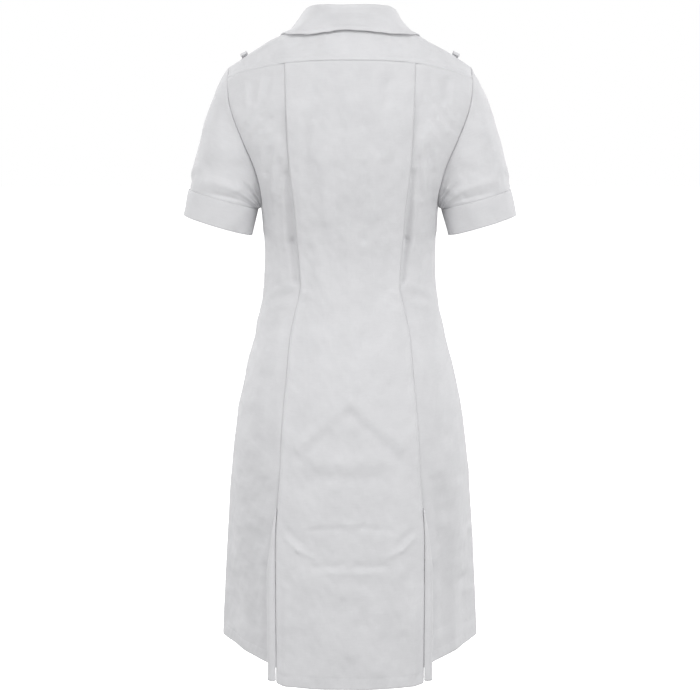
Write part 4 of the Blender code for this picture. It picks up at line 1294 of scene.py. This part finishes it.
class DRESS_OT_buttons(bpy.types.Operator):
    """Makes the eight sewn-on front buttons"""

    bl_idname = "dress.buttons"
    bl_label = "Buttons"

    def execute(self, context):
        radius = context.scene.dress_sizes.button
        tree = surface_tree("front_right_cloth")
        # Share of the radius and height in millimetres, from the middle of the
        # face over the rim and round the back.
        profile = (
            (0.0, 1.7), (0.30, 1.7), (0.50, 1.75), (0.58, 2.0), (0.68, 2.5), (0.80, 2.8),
            (0.90, 2.75), (0.97, 2.4), (1.0, 1.9), (0.98, 1.3), (0.90, 0.7), (0.70, 0.35),
            (0.40, 0.2), (0.0, 0.2))
        steps = 60
        rows = 53
        face_rows = 24
        hole_place = 0.0017 / math.sqrt(2)
        for number in range(BUTTON_COUNT):
            height = BUTTON_TOP - number * BUTTON_PITCH
            found, normal, _, _ = tree.ray_cast(Vector((0.0, -1.0, height)), Vector((0.0, 1.0, 0.0)))
            if found is None:
                raise RuntimeError(f"no cloth under button {number + 1}")
            shares, heights = (
                np.interp(np.linspace(0, len(profile) - 1, rows), range(len(profile)), column)
                for column in zip(*profile))
            turn = np.linspace(0, 2 * math.pi, steps, endpoint=False)
            x = radius * shares[:, None] * np.cos(turn)[None, :]
            y = radius * shares[:, None] * np.sin(turn)[None, :]
            z = (heights * MM)[:, None] + 0.0 * x
            face = (np.arange(rows) < face_rows)[:, None]
            for sx in (-1, 1):
                for sy in (-1, 1):
                    apart = np.hypot(x - sx * hole_place, y - sy * hole_place)
                    z -= face * 0.0011 * np.exp(-(apart / 0.00062) ** 6)
            made = grid_object(f"button_{number + 1}_resin", np.stack([x, -y, z], axis=-1),
                               ring=True, uv=False)
            made.data.materials.append(button_material())
            made.rotation_euler = normal.to_track_quat("Z", "Y").to_euler()
            made.location = found - normal * 0.0001
            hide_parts(f"button_{number + 1}")
            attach(made, "root")
            lines = []
            for sx in (-1, 1):
                for strand in (-0.00022, 0.0, 0.00022):
                    points = [
                        Vector((sx * hole_place + strand, t * hole_place,
                                0.0017 + 0.00030 * (1 - t * t)))
                        for t in spread(-1.15, 1.15, 10)]
                    matrix = made.rotation_euler.to_matrix()
                    lines.append([matrix @ point + made.location for point in points])
            self.add_thread(f"button_{number + 1}_thread", lines)
        return {"FINISHED"}

    def add_thread(self, name, lines):
        """The strands that sew on one button, as round thread."""
        curve = bpy.data.curves.new(name, "CURVE")
        curve.dimensions = "3D"
        curve.bevel_depth = 0.00014
        curve.bevel_resolution = 2
        for points in lines:
            spline = curve.splines.new("POLY")
            spline.points.add(len(points) - 1)
            for place, point in zip(spline.points, points):
                place.co = (*point, 1.0)
        made = linked(name, curve)
        curve.materials.append(thread_material())
        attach(made, "root")


class DRESS_OT_stage(bpy.types.Operator):
    """Makes the floor, the light and the camera"""

    bl_idname = "dress.stage"
    bl_label = "Stage"

    def execute(self, context):
        scene = context.scene
        mesh = bpy.data.meshes.new("floor")
        reach = STAGE_REACH
        corners = [(-reach, -reach), (reach, -reach), (reach, reach), (-reach, reach)]
        mesh.from_pydata([(x, y, FLOOR_LEVEL) for x, y in corners], [], [(0, 1, 2, 3)])
        floor = linked("floor", mesh)
        paint, _, shader = blank_material("matt_white_floor_paint")
        set_sockets(shader, {
            "Base Color": scene.dress_colours.floor, "Roughness": 0.95,
            "Specular IOR Level": 0.0, "Emission Color": (1.0, 1.0, 1.0, 1.0),
            "Emission Strength": 0.80,
        })
        mesh.materials.append(paint)
        # The backdrop is only looked at: it gives no light of its own.
        bpy.ops.mesh.primitive_uv_sphere_add(segments=48, ring_count=24, radius=reach)
        backdrop = context.active_object
        backdrop.name = "backdrop"
        paper, _, glow = blank_material("white_backdrop_paper")
        set_sockets(glow, {
            "Base Color": (0.0, 0.0, 0.0, 1.0), "Specular IOR Level": 0.0,
            "Emission Color": (1.0, 1.0, 1.0, 1.0), "Emission Strength": 1.0,
        })
        backdrop.data.materials.append(paper)
        for surround in (floor, backdrop):
            surround.visible_diffuse = False
            surround.visible_glossy = False
            surround.visible_shadow = False
        world = bpy.data.worlds.new("studio")
        scene.world = world
        world.use_nodes = True
        set_sockets(world.node_tree.nodes["Background"],
                    {"Color": (1.0, 1.0, 1.0, 1.0), "Strength": 0.55})
        for name, place, size, energy in LIGHTS:
            lamp = bpy.data.lights.new(name, "AREA")
            lamp.shape = "DISK"
            lamp.size = size
            lamp.energy = energy
            holder = linked(name, lamp)
            holder.location = place
            aim = LIGHTS_AIM - holder.location
            holder.rotation_euler = aim.to_track_quat("-Z", "Y").to_euler()
        lens = bpy.data.cameras.new("camera")
        lens.sensor_width = 36.0
        lens.lens = CAMERA_LENS
        lens.shift_y = CAMERA_SHIFT
        camera = linked("camera", lens)
        camera.location = CAMERA_PLACE
        look = Vector((0.0, -math.cos(CAMERA_PITCH), -math.sin(CAMERA_PITCH)))
        camera.rotation_euler = look.to_track_quat("-Z", "Y").to_euler()
        scene.camera = camera
        scene.view_settings.view_transform = "Standard"
        return {"FINISHED"}


class DRESS_PT_pieces(bpy.types.Panel):
    """The dress's pieces, sizes and colours"""

    bl_idname = "DRESS_PT_pieces"
    bl_label = "Nurse uniform dress"
    bl_space_type = "VIEW_3D"
    bl_region_type = "UI"
    bl_category = "Dress"

    def draw(self, context):
        for group in (context.scene.dress_sizes, context.scene.dress_colours):
            box = self.layout.box()
            for name in group.bl_rna.properties.keys():
                if name not in ("rna_type", "name"):
                    box.prop(group, name)
        for operator in OPERATORS:
            self.layout.operator(operator.bl_idname)


OPERATORS = (
    DRESS_OT_yoke, DRESS_OT_centre_back, DRESS_OT_side_backs, DRESS_OT_pleats, DRESS_OT_fronts,
    DRESS_OT_sleeves, DRESS_OT_strap_loops, DRESS_OT_collar, DRESS_OT_buttons, DRESS_OT_stage,
)
CLASSES = (DressSizes, DressColours, DRESS_PT_pieces) + OPERATORS


def register():
    """Adds the classes and the settings to Blender."""
    for kind in CLASSES:
        bpy.utils.register_class(kind)
    bpy.types.Scene.dress_sizes = bpy.props.PointerProperty(type=DressSizes)
    bpy.types.Scene.dress_colours = bpy.props.PointerProperty(type=DressColours)


def unregister():
    """Takes them away again."""
    del bpy.types.Scene.dress_colours
    del bpy.types.Scene.dress_sizes
    for kind in reversed(CLASSES):
        bpy.utils.unregister_class(kind)


def main():
    """Builds the whole dress."""
    register()
    bpy.ops.dress.yoke()
    bpy.ops.dress.centre_back()
    bpy.ops.dress.side_backs()
    bpy.ops.dress.pleats()
    bpy.ops.dress.fronts()
    bpy.ops.dress.sleeves()
    bpy.ops.dress.strap_loops()
    bpy.ops.dress.collar()
    bpy.ops.dress.buttons()
    bpy.ops.dress.stage()


if __name__ == "__main__":
    main()
